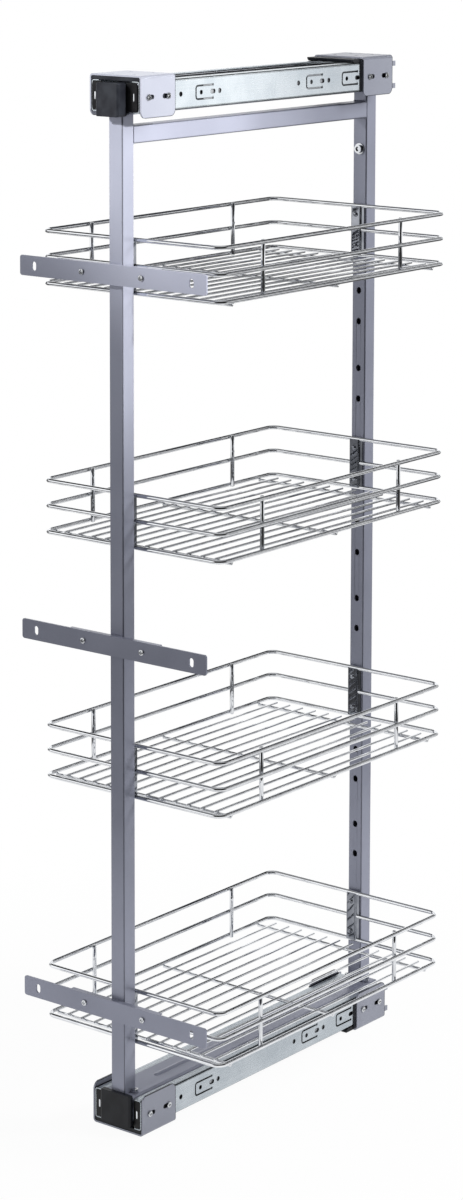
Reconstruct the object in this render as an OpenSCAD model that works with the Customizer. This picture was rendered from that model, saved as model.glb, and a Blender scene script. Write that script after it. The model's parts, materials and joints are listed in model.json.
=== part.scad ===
// Pull out pantry frame for a 300 mm cabinet: two square uprights between a bottom and a top beam,
// four wire baskets hooked in the uprights, and four ball bearing slides held in floor and ceiling saddles.
// Millimetres. X to the right seen from the door side, Y to the rear, Z up.
// Origin: centre of the bounding box at floor height. Drawn closed, with the frame pushed in.

/* [Frame] */
// Height from the cabinet floor to the cabinet ceiling
frame_h = 1207; // [1100:1:1500]
// Clear depth between the front and the rear upright
bay_depth = 437; // [400:1:480]
// Side of the square upright tube
tube_side = 20; // [18:0.5:24]
// Wall of the upright tube
tube_wall = 1.5; // [1:0.1:2.5]
// Outer corner radius of the upright tube
tube_corner = 2; // [1:0.25:3]
// Distance from the cabinet ceiling down to the top of the cross rail
cross_rail_drop = 57; // [54:1:66]

/* [Saddles] */
// Outer width of a saddle
saddle_w = 74; // [72:0.5:80]
// Length of a saddle along the slide
saddle_len = 59; // [54:1:66]
// Height of a saddle
saddle_h = 47; // [46:0.5:52]
// Sheet of a saddle
saddle_sheet = 2; // [1.5:0.1:2.5]
// Inside bend radius of a saddle
saddle_bend = 2; // [1:0.25:3]
// Corner radius at the free edge of a saddle cheek
cheek_corner = 8; // [4:0.5:12]
// Distance from the front upright face back to the front edge of the front saddle
saddle_front_set = 0; // [0:0.5:4]
// Distance from the rear face of the rear upright forward to the rear edge of the rear saddle
saddle_rear_set = 5; // [3:0.5:10]
// Spacing of the two slide screws along a saddle
cheek_screw_pitch = 34; // [28:0.5:38]
// Way that a slide screw can be set along its slot
cheek_slot_run = 7; // [5:0.5:10]
// Width of the slot of a slide screw
cheek_slot_w = 5.4; // [5:0.1:5.8]
// Spacing of the base screw holes across a saddle
base_hole_x = 32; // [26:0.5:36]
// Spacing of the base screw holes along a saddle
base_hole_y = 32; // [26:0.5:38]
// Diameter of a base screw hole
base_hole_d = 5; // [4:0.1:6]
// Diameter of the driver access over a base screw hole
base_access_d = 10; // [8:0.1:11]
// Length of the hook tabs behind a rear saddle
tab_len = 6; // [4:0.5:8]
// Height of a hook tab
tab_h = 6; // [4:0.5:8]
// Spacing of the two hook tabs of a cheek
tab_pitch = 27; // [22:0.5:30]

/* [Saddle liners] */
// Wall between a saddle cheek and a slide
liner_wall = 1; // [0.8:0.1:1.6]
// Length that a liner stands out in front of its saddle
liner_lip = 4; // [2:0.5:6]
// Extra length of the floor tongue of a rear liner
liner_tongue = 14; // [8:0.5:20]

/* [Slides] */
// Length of each slide member
slide_len = 468; // [440:1:474]
// Distance from the front upright face to the slide ends
slide_front_set = 2; // [1:0.5:4]
// Height of a slide
slide_h = 35; // [34:0.5:37]
// Height of the slide centre above the cabinet floor
slide_z = 24; // [23:0.25:25]
// Thickness of a slide
slide_thick = 12.5; // [12:0.1:13.5]
// Sheet of the slide members
slide_sheet = 1.3; // [1.1:0.05:1.5]
// Outside bend radius of the slide members
slide_bend = 3; // [2:0.1:4]
// Bearing ball diameter
ball_d = 3; // [2.6:0.05:3.2]
// Clearance between a ball and its race
ball_fit = 0.05; // [0.03:0.01:0.1]
// Balls in one row of a cage
ball_count = 9; // [6:1:10]
// Spacing of the balls along a cage
ball_pitch = 25; // [20:0.5:26]
// Length of a ball cage
cage_len = 240; // [220:1:250]
// Distance from the slide front to the ball cage
cage_set = 112; // [110:1:118]
// Sheet of a ball cage
cage_sheet = 0.7; // [0.5:0.05:0.8]
// Running gap between sliding members
run_gap = 0.3; // [0.2:0.05:0.4]
// Gap between a ball and its cage hole
cage_hole_gap = 0.15; // [0.1:0.05:0.25]
// Set-back of the outer member lips from the inner member web
lip_back = 1.5; // [1:0.1:2.5]
// Length of the lanced mounting tongues in the outer member
lance_len = 31; // [24:0.5:36]
// Height of the lanced mounting tongues
lance_h = 16.5; // [14:0.5:18]
// Corner radius of a tongue slit
lance_corner = 4; // [2.5:0.25:5]
// Slit round a lanced tongue
lance_slit = 1.5; // [1:0.1:2]
// Round end of a tongue slit
lance_end_d = 3; // [2.2:0.1:3.6]
// Round hole in a tongue
lance_hole_d = 4.5; // [3.5:0.1:5.5]
// Distance from the slit to the round hole
lance_hole_set = 10; // [7:0.5:12]
// Length of the oblong hole at the root of a tongue
lance_slot_len = 8; // [6:0.5:10]
// Height of the oblong hole
lance_slot_w = 4.5; // [3.5:0.1:5]
// Plain holes of the outer member
rail_hole_d = 5; // [4:0.1:6]

/* [Beams] */
// Sheet of a beam
beam_sheet = 2; // [1.5:0.1:2.5]
// Height of a beam face above the slide centre
beam_rise = 19.5; // [18.5:0.25:21]
// Depth of a beam wall below the slide centre
beam_drop = 9; // [8:0.25:10]
// Outer bend radius of a beam
beam_bend = 3; // [2.5:0.25:4]
// Height of the stiffening bead
bead_h = 1.6; // [1:0.1:2.5]
// Radius of the stiffening bead
bead_r = 6; // [5:0.25:8]
// Distance from the front upright face to the bead
bead_front_set = 70; // [60:1:90]
// Distance from the rear upright face to the bead
bead_rear_set = 62; // [58:1:90]

/* [End caps] */
// Width of the bottom end cap
low_cap_w = 44.6; // [38:0.2:48]
// Length of the bottom end cap in front of the upright face
low_cap_len = 5.6; // [4:0.2:8]
// Width of the top end cap
high_cap_w = 33; // [28:0.5:44]
// Length of the top end cap in front of the upright face
high_cap_len = 15; // [10:0.5:18]
// Height of the end cap face past the beam face
cap_over = 2; // [1:0.25:3]
// Height of the end cap face below the beam wall
cap_under = 6.5; // [4:0.25:7]
// Edge radius of the end caps
cap_edge = 3; // [1.5:0.25:4]
// Length of the cap plug inside the beam
cap_plug = 12; // [8:0.5:18]
// Fit of the cap plug in the beam
cap_fit = 0.2; // [0.1:0.05:0.3]

/* [Door plates] */
// Length of a door plate
plate_w = 270; // [260:1:280]
// Height of a door plate
plate_h = 23; // [21:0.5:26]
// Thickness of a door plate
plate_t = 2; // [1.5:0.1:3]
// Corner radius of a door plate
plate_corner = 3; // [2:0.5:8]
// Heights of the three door plate centres above the cabinet floor
plate_zs = [142.5, 567, 986.5];
// Spacing of the upright door screw slots
door_slot_pitch = 228; // [215:0.5:236]
// Height of a door screw slot
door_slot_len = 10.6; // [9:0.1:14]
// Width of a door screw slot
door_slot_w = 6.4; // [5:0.1:7]
// Length of a clamp
clamp_w = 132; // [120:1:150]
// Height of a clamp
clamp_h = 22; // [18:0.5:23]
// Depth of a clamp between the upright and the door plate
clamp_deep = 6; // [5:0.25:8]
// Sheet of a clamp
clamp_sheet = 1.5; // [1.2:0.1:2]
// Spacing of the clamp screws
clamp_screw_pitch = 86; // [70:0.5:100]

/* [Baskets] */
// Width of a basket between rail centres
basket_w = 259; // [240:1:264]
// Height between the lowest and the top rail of a basket
basket_h = 60; // [54:0.5:70]
// Height of the middle rail above the lowest rail
basket_mid = 30.5; // [24:0.5:36]
// Rail wire
rail_d = 5; // [4:0.1:6]
// Corner radius of a rail, to the wire centre
rail_corner = 12; // [9:0.5:16]
// Cross wire under the floor
cross_d = 4; // [3.4:0.1:5]
// Floor wire
floor_d = 3; // [2.5:0.1:3.5]
// Number of floor wires
floor_count = 12; // [9:1:13]
// Spacing of the floor wires
floor_pitch = 20; // [18:0.25:20.5]
// Distance from the front rail to the front end of a floor wire
floor_front_set = 14; // [10:0.5:16]
// Distance from the rear rail to the rear end of a floor wire
floor_rear_set = 13; // [8:0.5:16]
// Distance from the front rail to the first cross wire
cross_front_set = 20; // [18:0.5:40]
// Distance from the rear rail to the last cross wire
cross_rear_set = 26; // [18:0.5:40]
// Distance from the front rail to the front posts
post_front_set = 80; // [60:1:100]
// Distance from the rear rail to the rear posts
post_rear_set = 86; // [60:1:100]
// Depth of a weld between two wires
weld = 0.4; // [0.3:0.05:0.6]
// Height of the lowest rail of the bottom basket above the cabinet floor
basket_first_z = 99; // [94:1:110]
// Number of hole steps between two baskets
basket_steps = 3; // [2:1:3]
// Width of a basket hanger
hanger_w = 16; // [13:0.5:18]
// Sheet of a basket hanger
hanger_sheet = 1.5; // [1.2:0.1:2]
// Depth of a basket hanger, from its free edges to the face of its web
hanger_deep = 7.5; // [6.5:0.25:9]
// Inner bend radius of a hanger
hanger_bend = 1.5; // [1:0.1:2]
// Head of the rivet that holds a hook
rivet_d = 6.5; // [5:0.1:7]
// Head height of the rivet
rivet_h = 2.2; // [1.5:0.1:2.6]
// Gap between a hanger and its upright
hanger_gap = 0.3; // [0.25:0.05:0.5]

/* [Hooks and slots] */
// Height of one step of the slot pattern
slot_step = 96; // [90:1:100]
// Spacing of the two slots of a step
slot_pair = 38; // [34:0.5:42]
// Width of a slot
slot_w = 6.4; // [6:0.1:7]
// Height of a slot
slot_h = 8; // [7.8:0.1:9]
// Height of the lower hook above the lowest rail
hook_z = 10; // [7:0.5:12]
// Width of a hook
hook_w = 3.4; // [3:0.1:3.6]
// Thickness of the hook arm
hook_t = 3.2; // [2.8:0.1:3.4]
// Drop of the hook nose behind the tube wall
hook_drop = 2.8; // [2.4:0.1:3]
// Thickness of the hook nose
hook_nose = 1.5; // [1.2:0.1:2]
// Height of the hook arm above the lower end of its slot
hook_seat = 0.75; // [0.65:0.05:0.9]

/* [Fasteners] */
// Shank of the small screws
screw_d = 4; // [3.5:0.1:4.5]
// Head of the small screws
screw_head_d = 7; // [6.6:0.1:8]
// Head height of the small screws
screw_head_h = 2; // [1.5:0.1:2.6]
// Socket across the flats in the small screws
screw_socket = 2.5; // [2:0.1:3]
// Screws along each inner member
carrier_screw_count = 3; // [2:1:4]
// Distance from the ends of an inner member to its outer screws
carrier_end_set = 54; // [45:1:70]
// Head height of the carrier screws
carrier_head_h = 1.2; // [1:0.1:1.6]
// Shank of the bolts
bolt_d = 6; // [5:0.1:6.5]
// Head of the bolts
bolt_head_d = 10; // [9:0.1:11]
// Head height of the bolts
bolt_head_h = 3.5; // [3:0.1:4.5]
// Socket across the flats in the bolts
bolt_socket = 5.5; // [4:0.1:6]
// Washer of the upright bolts
washer_d = 14; // [13:0.1:18]
// Thickness of the washer
washer_t = 1.5; // [1:0.1:2]
// Clearance of every fastener hole
hole_gap = 0.1; // [0.05:0.05:0.2]
// Height of the upright bolts below the cross rail
lock_drop = 38; // [30:1:45]
// Sheet of a foot tab
foot_tab_sheet = 2; // [1.5:0.1:2.5]
// Width of a foot tab
foot_tab_w = 8; // [7:0.25:8]
// Reach of a foot tab from the side of its upright
foot_tab_out = 8.25; // [8:0.25:8.5]
// Distance from the outer face of an upright to its foot screws
foot_set = 14; // [10:0.5:15]

/* [Hidden] */
$fn = 48;
// Overlap that carries a cut through a face
cut = 1;
// Share of a fastener head that is left below its socket
socket_floor = 0.4;

// Depths, measured from the front face of the front upright
rear_upright_s = tube_side + bay_depth;
frame_end_s = rear_upright_s + tube_side;
rear_saddle_s = frame_end_s - saddle_rear_set - saddle_len;
rear_reach_s = max(frame_end_s, rear_saddle_s + saddle_len + tab_len);
plate_reach = clamp_deep + plate_t + screw_head_h;
front_reach = max(high_cap_len, low_cap_len, plate_reach, liner_lip - saddle_front_set);
front_y = (front_reach - rear_reach_s) / 2;

// Slide section: x places across one slide, right-hand side
web_x = saddle_w / 2 - saddle_sheet - liner_wall;
beam_half = web_x - slide_thick;
outer_half = slide_h / 2;
mid_half = outer_half - slide_sheet - ball_d - 2 * ball_fit;
inner_half = mid_half - slide_sheet - ball_d - 2 * ball_fit;
outer_cage_t = slide_sheet + run_gap;
mid_web_t = outer_cage_t + cage_sheet + run_gap;
inner_cage_t = mid_web_t + slide_sheet + run_gap;
inner_lip_t = inner_cage_t + cage_sheet + run_gap;
ball_t = (inner_lip_t + slide_thick - lip_back) / 2;
outer_ball_z = outer_half - slide_sheet - ball_fit - ball_d / 2;
inner_ball_z = mid_half - slide_sheet - ball_fit - ball_d / 2;
mid_lip_t = slide_thick - lip_back - run_gap;
slide_y = front_y + slide_front_set;
cage_y = slide_y + cage_set;

// Heights
beam_z = slide_z + beam_rise;
upright_len = frame_h - 2 * beam_z;
cross_rail_z = frame_h - cross_rail_drop - tube_side;
liner_floor_z = slide_z - outer_half;

// Feet of the uprights
foot_screw_x = tube_side / 2 + foot_tab_out - foot_tab_w / 2;
foot_rows_s = [foot_set, frame_end_s - foot_set];

// Baskets
rail_r = rail_d / 2;
hanger_out_s = tube_side + hanger_gap;
rail_out = hanger_deep - hanger_sheet - rail_r + weld;
rail_front_s = hanger_out_s + rail_out;
rail_rear_s = rear_upright_s - hanger_gap - rail_out;
cross_drop = rail_r + cross_d / 2 - weld;
floor_drop = cross_drop - cross_d / 2 - floor_d / 2 + weld;
post_x = basket_w / 2 - rail_d + weld;
slot_rows = 10;
basket_pitch = basket_steps * slot_step;
slot_first_z = basket_first_z + hook_z - hook_seat;

// Screw rows
cheek_screw_s = (saddle_len - cheek_screw_pitch) / 2;
saddle_starts = [saddle_front_set, rear_saddle_s];
screw_rows_s = [for (s = saddle_starts) for (k = [0, 1]) s + cheek_screw_s + k * cheek_screw_pitch];
carrier_first_s = slide_front_set + carrier_end_set;
carrier_pitch = (slide_len - 2 * carrier_end_set) / (carrier_screw_count - 1);
carrier_rows_s = [for (k = [0 : carrier_screw_count - 1]) carrier_first_s + k * carrier_pitch];
lock_z = cross_rail_z - lock_drop;

// Marks on the outer member, from its front end: plain holes, then the starts of the lanced tongues
rail_hole_marks = [70, 139, 286, 345];
lance_marks = [96, 301, 371];

// Finishes
module painted() { color([0.60, 0.61, 0.66]) children(); }
module zinc() { color([0.70, 0.72, 0.78]) children(); }
module chrome() { color([0.86, 0.87, 0.88]) children(); }
module black() { color([0.08, 0.08, 0.09]) children(); }

// Placing: a right-hand bottom piece goes to any of the four slides
module place(side, level) {
    translate([0, 0, level * frame_h])
        mirror([0, 0, level])
            mirror([side < 0 ? 1 : 0, 0, 0])
                children();
}

// A flat outline in X and Z, drawn back along Y from a depth behind the front upright face
module along_y(s, len) {
    translate([0, front_y + s + len, 0])
        rotate([90, 0, 0])
            linear_extrude(len)
                children();
}

// A rectangle from one corner to the other with four round corners
module round_box(x0, z0, x1, z1, r) {
    translate([x0 + r, z0])
        square([x1 - x0 - 2 * r, z1 - z0]);
    translate([x0, z0 + r])
        square([x1 - x0, z1 - z0 - 2 * r]);
    for (x = [x0 + r, x1 - r])
        for (z = [z0 + r, z1 - r])
            translate([x, z])
                circle(r);
}

// A rod along X, Y or Z
module rod_x(x, s, z, d, len) {
    translate([x, front_y + s, z])
        rotate([0, 90, 0])
            cylinder(d = d, h = len);
}

module rod_y(x, s, z, d, len) {
    translate([x, front_y + s, z])
        rotate([-90, 0, 0])
            cylinder(d = d, h = len);
}

// Saddle: a bent sheet channel with round free corners and screw holes
module saddle_profile() {
    r = saddle_bend;
    t = saddle_sheet;
    w = saddle_w / 2;
    difference() {
        round_box(-w, 0, w, 2 * saddle_h, r + t);
        round_box(-w + t, t, w - t, 2 * saddle_h - t, r);
        translate([-w - cut, saddle_h])
            square([saddle_w + 2 * cut, saddle_h + cut]);
    }
}

// Side view of a saddle, with round corners at the free edge of its cheeks
module cheek_outline(s) {
    translate([-saddle_w / 2 - cut, front_y + s, 0])
        rotate([90, 0, 90])
            linear_extrude(saddle_w + 2 * cut)
                round_box(0, -saddle_h, saddle_len, saddle_h, cheek_corner);
}

module saddle(s, tabs) {
    base_s = s + (saddle_len - base_hole_y) / 2;
    difference() {
        union() {
            intersection() {
                along_y(s, saddle_len)
                    saddle_profile();
                cheek_outline(s);
            }
            if (tabs)
                hook_tabs(s + saddle_len);
        }
        cheek_slot(s + cheek_screw_s);
        cheek_slot(s + cheek_screw_s + cheek_screw_pitch - cheek_slot_run);
        for (x = [-1, 1])
            for (k = [0, 1])
                translate([x * base_hole_x / 2, front_y + base_s + k * base_hole_y, -cut])
                    cylinder(d = base_hole_d, h = saddle_sheet + 2 * cut);
    }
}

// The slots run from the screws towards the middle of the cheek
module cheek_slot(s) {
    for (step = [0, cheek_slot_run])
        rod_x(-saddle_w, s + step, slide_z, cheek_slot_w, 2 * saddle_w);
    translate([-saddle_w, front_y + s, slide_z - cheek_slot_w / 2])
        cube([2 * saddle_w, cheek_slot_run, cheek_slot_w]);
}

module hook_tabs(s) {
    for (side = [-1, 1])
        for (k = [-1, 1])
            translate([side * (saddle_w - saddle_sheet) / 2, front_y + s, slide_z + k * tab_pitch / 2])
                translate([-saddle_sheet / 2, -cut, -tab_h / 2])
                    cube([saddle_sheet, tab_len + cut, tab_h]);
}

module saddle_bottom_front() { painted() place(1, 0) saddle(saddle_front_set, false); }
module saddle_bottom_rear() { painted() place(1, 0) saddle(rear_saddle_s, true); }
module saddle_top_front() { painted() place(1, 1) saddle(saddle_front_set, false); }
module saddle_top_rear() { painted() place(1, 1) saddle(rear_saddle_s, true); }

// Liner: a plastic tray between a saddle and its two slides
module liner(s, tongue) {
    w = saddle_w / 2 - saddle_sheet;
    base_s = s + (saddle_len - base_hole_y) / 2;
    difference() {
        union() {
            along_y(s - liner_lip, saddle_len + liner_lip)
                intersection() {
                    difference() {
                        round_box(-w, saddle_sheet, w, 2 * saddle_h, saddle_bend);
                        translate([-web_x, liner_floor_z])
                            square([2 * web_x, 2 * saddle_h]);
                    }
                    translate([-saddle_w, 0])
                        square([2 * saddle_w, slide_z + outer_half]);
                }
            if (tongue > 0)
                liner_tongue_solid(s - liner_lip, tongue);
        }
        for (k = [0, 1])
            rod_x(-saddle_w, s + cheek_screw_s + k * cheek_screw_pitch, slide_z,
                  screw_d + 2 * hole_gap, 2 * saddle_w);
        for (x = [-1, 1])
            for (k = [0, 1])
                translate([x * base_hole_x / 2, front_y + base_s + k * base_hole_y, 0])
                    cylinder(d = base_access_d, h = slide_z);
    }
}

// The floor tongue has a round front edge
module liner_tongue_solid(s, tongue) {
    h = liner_floor_z - saddle_sheet;
    w = 2 * web_x;
    translate([-web_x, front_y + s - tongue + h, saddle_sheet])
        cube([w, tongue - h + cut, h]);
    intersection() {
        rod_x(-web_x, s - tongue + h, saddle_sheet, 2 * h, w);
        translate([-web_x, front_y + s - tongue, saddle_sheet])
            cube([w, h, h]);
    }
}

module liner_bottom_front() { black() place(1, 0) liner(saddle_front_set, 0); }
module liner_bottom_rear() { black() place(1, 0) liner(rear_saddle_s, liner_tongue); }
module liner_top_front() { black() place(1, 1) liner(saddle_front_set, 0); }
module liner_top_rear() { black() place(1, 1) liner(rear_saddle_s, liner_tongue); }

// Slide members: channels, with t measured inward from the outer web
module channel_profile(t0, t1, half, sheet, bend, opens_in) {
    far = opens_in ? t1 : t0;
    a = opens_in ? t0 : 2 * t0 - t1;
    b = opens_in ? 2 * t1 - t0 : t1;
    difference() {
        round_box(web_x - b, slide_z - half, web_x - a, slide_z + half, bend);
        round_box(web_x - b + sheet, slide_z - half + sheet, web_x - a - sheet, slide_z + half - sheet,
                  bend - sheet);
        translate([opens_in ? web_x - b - cut : web_x - far, slide_z - half - cut])
            square([t1 - t0 + cut, 2 * half + 2 * cut]);
    }
}

// A tongue is cut free on three sides by a slit with round ends, and has two holes
module lance_cut(s) {
    a = lance_h / 2;
    b = a - lance_slit;
    half_slot = (lance_slot_len - lance_slot_w) / 2;
    translate([web_x - slide_sheet - cut, front_y + s, slide_z])
        rotate([90, 0, 90])
            linear_extrude(slide_sheet + 2 * cut) {
                difference() {
                    round_box(0, -a, 2 * lance_len, a, lance_corner);
                    round_box(lance_slit, -b, 2 * lance_len, b, lance_corner - lance_slit);
                    translate([lance_len, -lance_h])
                        square([lance_len + cut, 2 * lance_h]);
                }
                for (z = [-1, 1])
                    translate([lance_len, z * (a + b) / 2])
                        circle(d = lance_end_d);
                translate([lance_hole_set, 0])
                    circle(d = lance_hole_d);
                for (x = [-half_slot, half_slot])
                    translate([lance_len + x, 0])
                        circle(d = lance_slot_w);
                translate([lance_len, 0])
                    square([2 * half_slot, lance_slot_w], center = true);
            }
}

module outer_rail() {
    difference() {
        along_y(slide_front_set, slide_len)
            channel_profile(0, slide_thick - lip_back, outer_half, slide_sheet, slide_bend, true);
        for (s = screw_rows_s)
            rod_x(web_x - slide_sheet - cut, s, slide_z, screw_d + 2 * hole_gap, slide_sheet + 2 * cut);
        for (s = rail_hole_marks)
            rod_x(web_x - slide_sheet - cut, slide_front_set + s, slide_z, rail_hole_d,
                  slide_sheet + 2 * cut);
        for (s = lance_marks)
            lance_cut(slide_front_set + s);
    }
}

module middle_rail() {
    along_y(slide_front_set, slide_len)
        channel_profile(mid_web_t, mid_lip_t, mid_half, slide_sheet, slide_bend - run_gap, true);
}

module inner_rail() {
    difference() {
        along_y(slide_front_set, slide_len)
            channel_profile(inner_lip_t, slide_thick, inner_half, slide_sheet, slide_bend - run_gap, false);
        for (s = carrier_rows_s)
            rod_x(beam_half - cut, s, slide_z, screw_d + 2 * hole_gap, slide_sheet + 2 * cut);
    }
}

module outer_rail_bottom_right() { zinc() place(1, 0) outer_rail(); }
module outer_rail_bottom_left() { zinc() place(-1, 0) outer_rail(); }
module outer_rail_top_right() { zinc() place(1, 1) outer_rail(); }
module outer_rail_top_left() { zinc() place(-1, 1) outer_rail(); }
module middle_rail_bottom_right() { zinc() place(1, 0) middle_rail(); }
module middle_rail_bottom_left() { zinc() place(-1, 0) middle_rail(); }
module middle_rail_top_right() { zinc() place(1, 1) middle_rail(); }
module middle_rail_top_left() { zinc() place(-1, 1) middle_rail(); }
module inner_rail_bottom_right() { zinc() place(1, 0) inner_rail(); }
module inner_rail_bottom_left() { zinc() place(-1, 0) inner_rail(); }
module inner_rail_top_right() { zinc() place(1, 1) inner_rail(); }
module inner_rail_top_left() { zinc() place(-1, 1) inner_rail(); }

// Ball cages: a thin channel with one hole for each ball
function ball_s(k) = cage_y + cage_len / 2 + (k - (ball_count - 1) / 2) * ball_pitch;

module cage(t0, ball_z) {
    half = ball_z + cage_sheet / 2;
    t1 = ball_t + ball_d / 2 + cage_sheet;
    difference() {
        translate([web_x - t1, cage_y, slide_z - half])
            cube([t1 - t0, cage_len, 2 * half]);
        translate([web_x - t1 - cut, cage_y - cut, slide_z - half + cage_sheet])
            cube([t1 - t0 - cage_sheet + cut, cage_len + 2 * cut, 2 * half - 2 * cage_sheet]);
        for (k = [0 : ball_count - 1])
            translate([web_x - ball_t, ball_s(k), slide_z - outer_half])
                cylinder(d = ball_d + 2 * cage_hole_gap, h = 2 * outer_half);
    }
}

module balls(ball_z) {
    for (k = [0 : ball_count - 1])
        for (row = [-1, 1])
            translate([web_x - ball_t, ball_s(k), slide_z + row * ball_z])
                sphere(d = ball_d);
}

module outer_cage_bottom_right() { zinc() place(1, 0) cage(outer_cage_t, outer_ball_z); }
module outer_cage_bottom_left() { zinc() place(-1, 0) cage(outer_cage_t, outer_ball_z); }
module outer_cage_top_right() { zinc() place(1, 1) cage(outer_cage_t, outer_ball_z); }
module outer_cage_top_left() { zinc() place(-1, 1) cage(outer_cage_t, outer_ball_z); }
module inner_cage_bottom_right() { zinc() place(1, 0) cage(inner_cage_t, inner_ball_z); }
module inner_cage_bottom_left() { zinc() place(-1, 0) cage(inner_cage_t, inner_ball_z); }
module inner_cage_top_right() { zinc() place(1, 1) cage(inner_cage_t, inner_ball_z); }
module inner_cage_top_left() { zinc() place(-1, 1) cage(inner_cage_t, inner_ball_z); }
module outer_balls_bottom_right() { chrome() place(1, 0) balls(outer_ball_z); }
module outer_balls_bottom_left() { chrome() place(-1, 0) balls(outer_ball_z); }
module outer_balls_top_right() { chrome() place(1, 1) balls(outer_ball_z); }
module outer_balls_top_left() { chrome() place(-1, 1) balls(outer_ball_z); }
module inner_balls_bottom_right() { chrome() place(1, 0) balls(inner_ball_z); }
module inner_balls_bottom_left() { chrome() place(-1, 0) balls(inner_ball_z); }
module inner_balls_top_right() { chrome() place(1, 1) balls(inner_ball_z); }
module inner_balls_top_left() { chrome() place(-1, 1) balls(inner_ball_z); }

// Beams: a sheet channel over the inner members, with a stiffening bead
module beam_profile() {
    h = beam_rise + beam_drop;
    low = beam_z - 2 * h;
    difference() {
        round_box(-beam_half, low, beam_half, beam_z, beam_bend);
        round_box(-beam_half + beam_sheet, low + beam_sheet, beam_half - beam_sheet, beam_z - beam_sheet,
                  beam_bend - beam_sheet);
        translate([-beam_half - cut, low - cut])
            square([2 * beam_half + 2 * cut, h + cut]);
    }
}

// One quarter-round end for the bead, made by turning its outline about the vertical
module bead_outline(r) {
    intersection() {
        translate([0, bead_h - bead_r])
            circle(r);
        translate([0, -beam_sheet])
            square([bead_r, beam_sheet + bead_h]);
    }
}

module bead_solid(r) {
    s0 = bead_front_set;
    s1 = frame_end_s - bead_rear_set;
    translate([0, 0, beam_z]) {
        along_y(s0, s1 - s0)
            for (side = [0, 1])
                mirror([side, 0])
                    bead_outline(r);
        for (s = [s0, s1])
            translate([0, front_y + s, 0])
                rotate_extrude()
                    bead_outline(r);
    }
}

module beam() {
    difference() {
        union() {
            along_y(0, frame_end_s)
                beam_profile();
            bead_solid(bead_r);
        }
        for (s = carrier_rows_s)
            rod_x(-saddle_w, s, slide_z, screw_d + 2 * hole_gap, 2 * saddle_w);
        at_feet()
            translate([foot_screw_x, 0, -beam_sheet - cut])
                cylinder(d = screw_d + 2 * hole_gap, h = beam_sheet + 2 * cut);
    }
}

module bottom_beam() { painted() place(1, 0) beam(); }
module top_beam() { painted() place(1, 1) beam(); }

// End caps: a block with round edges in front of a beam, and a plug inside it
module end_cap(w, len) {
    low = slide_z - beam_drop - cap_under;
    high = beam_z + cap_over;
    plug = beam_half - beam_sheet - cap_fit;
    intersection() {
        along_y(-len, len)
            round_box(-w / 2, low, w / 2, high, cap_edge);
        translate([0, 0, low])
            linear_extrude(high - low)
                translate([0, front_y])
                    round_box(-w / 2, -len, w / 2, len, min(cap_edge, len / 2));
    }
    translate([-plug, front_y - cut, slide_z - beam_drop])
        cube([2 * plug, cap_plug + cut, beam_rise + beam_drop - beam_sheet - cap_fit]);
}

module bottom_end_cap() { black() place(1, 0) end_cap(low_cap_w, low_cap_len); }
module top_end_cap() { black() place(1, 1) end_cap(high_cap_w, high_cap_len); }

// Uprights: square tubes with pairs of slots for the basket hooks
module tube_profile() {
    a = tube_side / 2;
    b = a - tube_wall;
    difference() {
        round_box(-a, -a, a, a, tube_corner);
        round_box(-b, -b, b, b, max(tube_corner - tube_wall, 0.3));
    }
}

module slot_cut(s, z) {
    r = slot_w / 2;
    for (k = [r, slot_h - r])
        rod_y(0, s, z + k, slot_w, tube_wall + 2 * cut);
    translate([-r, front_y + s, z + r])
        cube([slot_w, tube_wall + 2 * cut, slot_h - slot_w]);
}

module upright(s, slot_wall_s) {
    difference() {
        translate([0, front_y + s + tube_side / 2, beam_z])
            linear_extrude(upright_len)
                tube_profile();
        for (row = [0 : slot_rows - 1])
            for (k = [0, 1])
                slot_cut(slot_wall_s - cut, slot_first_z + row * slot_step + k * slot_pair);
        rod_y(0, slot_wall_s - cut, lock_z, bolt_d + 2 * hole_gap, tube_wall + 2 * cut);
    }
}

module front_upright() { painted() upright(0, tube_side - tube_wall); }
module rear_upright() { painted() upright(rear_upright_s, rear_upright_s); }

module cross_rail() {
    painted()
        along_y(tube_side, bay_depth)
            translate([0, cross_rail_z + tube_side / 2])
                tube_profile();
}

// Foot tabs: welded to both sides of an upright and screwed to the beam under it
module at_feet() {
    for (s = foot_rows_s)
        for (side = [0, 1])
            translate([0, front_y + s, beam_z])
                mirror([side, 0, 0])
                    children();
}

module foot_tab() {
    r = foot_tab_w / 2;
    linear_extrude(foot_tab_sheet)
        difference() {
            union() {
                translate([tube_side / 2, -r])
                    square([foot_tab_out - r, foot_tab_w]);
                translate([foot_screw_x, 0])
                    circle(r);
            }
            translate([foot_screw_x, 0])
                circle(d = screw_d + 2 * hole_gap);
        }
}

module foot_tabs() { painted() at_feet() foot_tab(); }

// Door plates on clamps across the front upright
module plate_hole(x, z, d) {
    rod_y(x, -clamp_deep - plate_t - cut, z, d, clamp_deep + plate_t + cut);
}

module door_plate(z) {
    translate([0, 0, z])
        difference() {
            along_y(-clamp_deep - plate_t, plate_t)
                round_box(-plate_w / 2, -plate_h / 2, plate_w / 2, plate_h / 2, plate_corner);
            for (side = [-1, 1]) {
                plate_hole(side * clamp_screw_pitch / 2, 0, screw_d + 2 * hole_gap);
                for (k = [-1, 1])
                    plate_hole(side * door_slot_pitch / 2, k * (door_slot_len - door_slot_w) / 2, door_slot_w);
                translate([side * door_slot_pitch / 2, front_y - clamp_deep - plate_t / 2, 0])
                    cube([door_slot_w, plate_t + 2 * cut, door_slot_len - door_slot_w], center = true);
            }
        }
}

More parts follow.
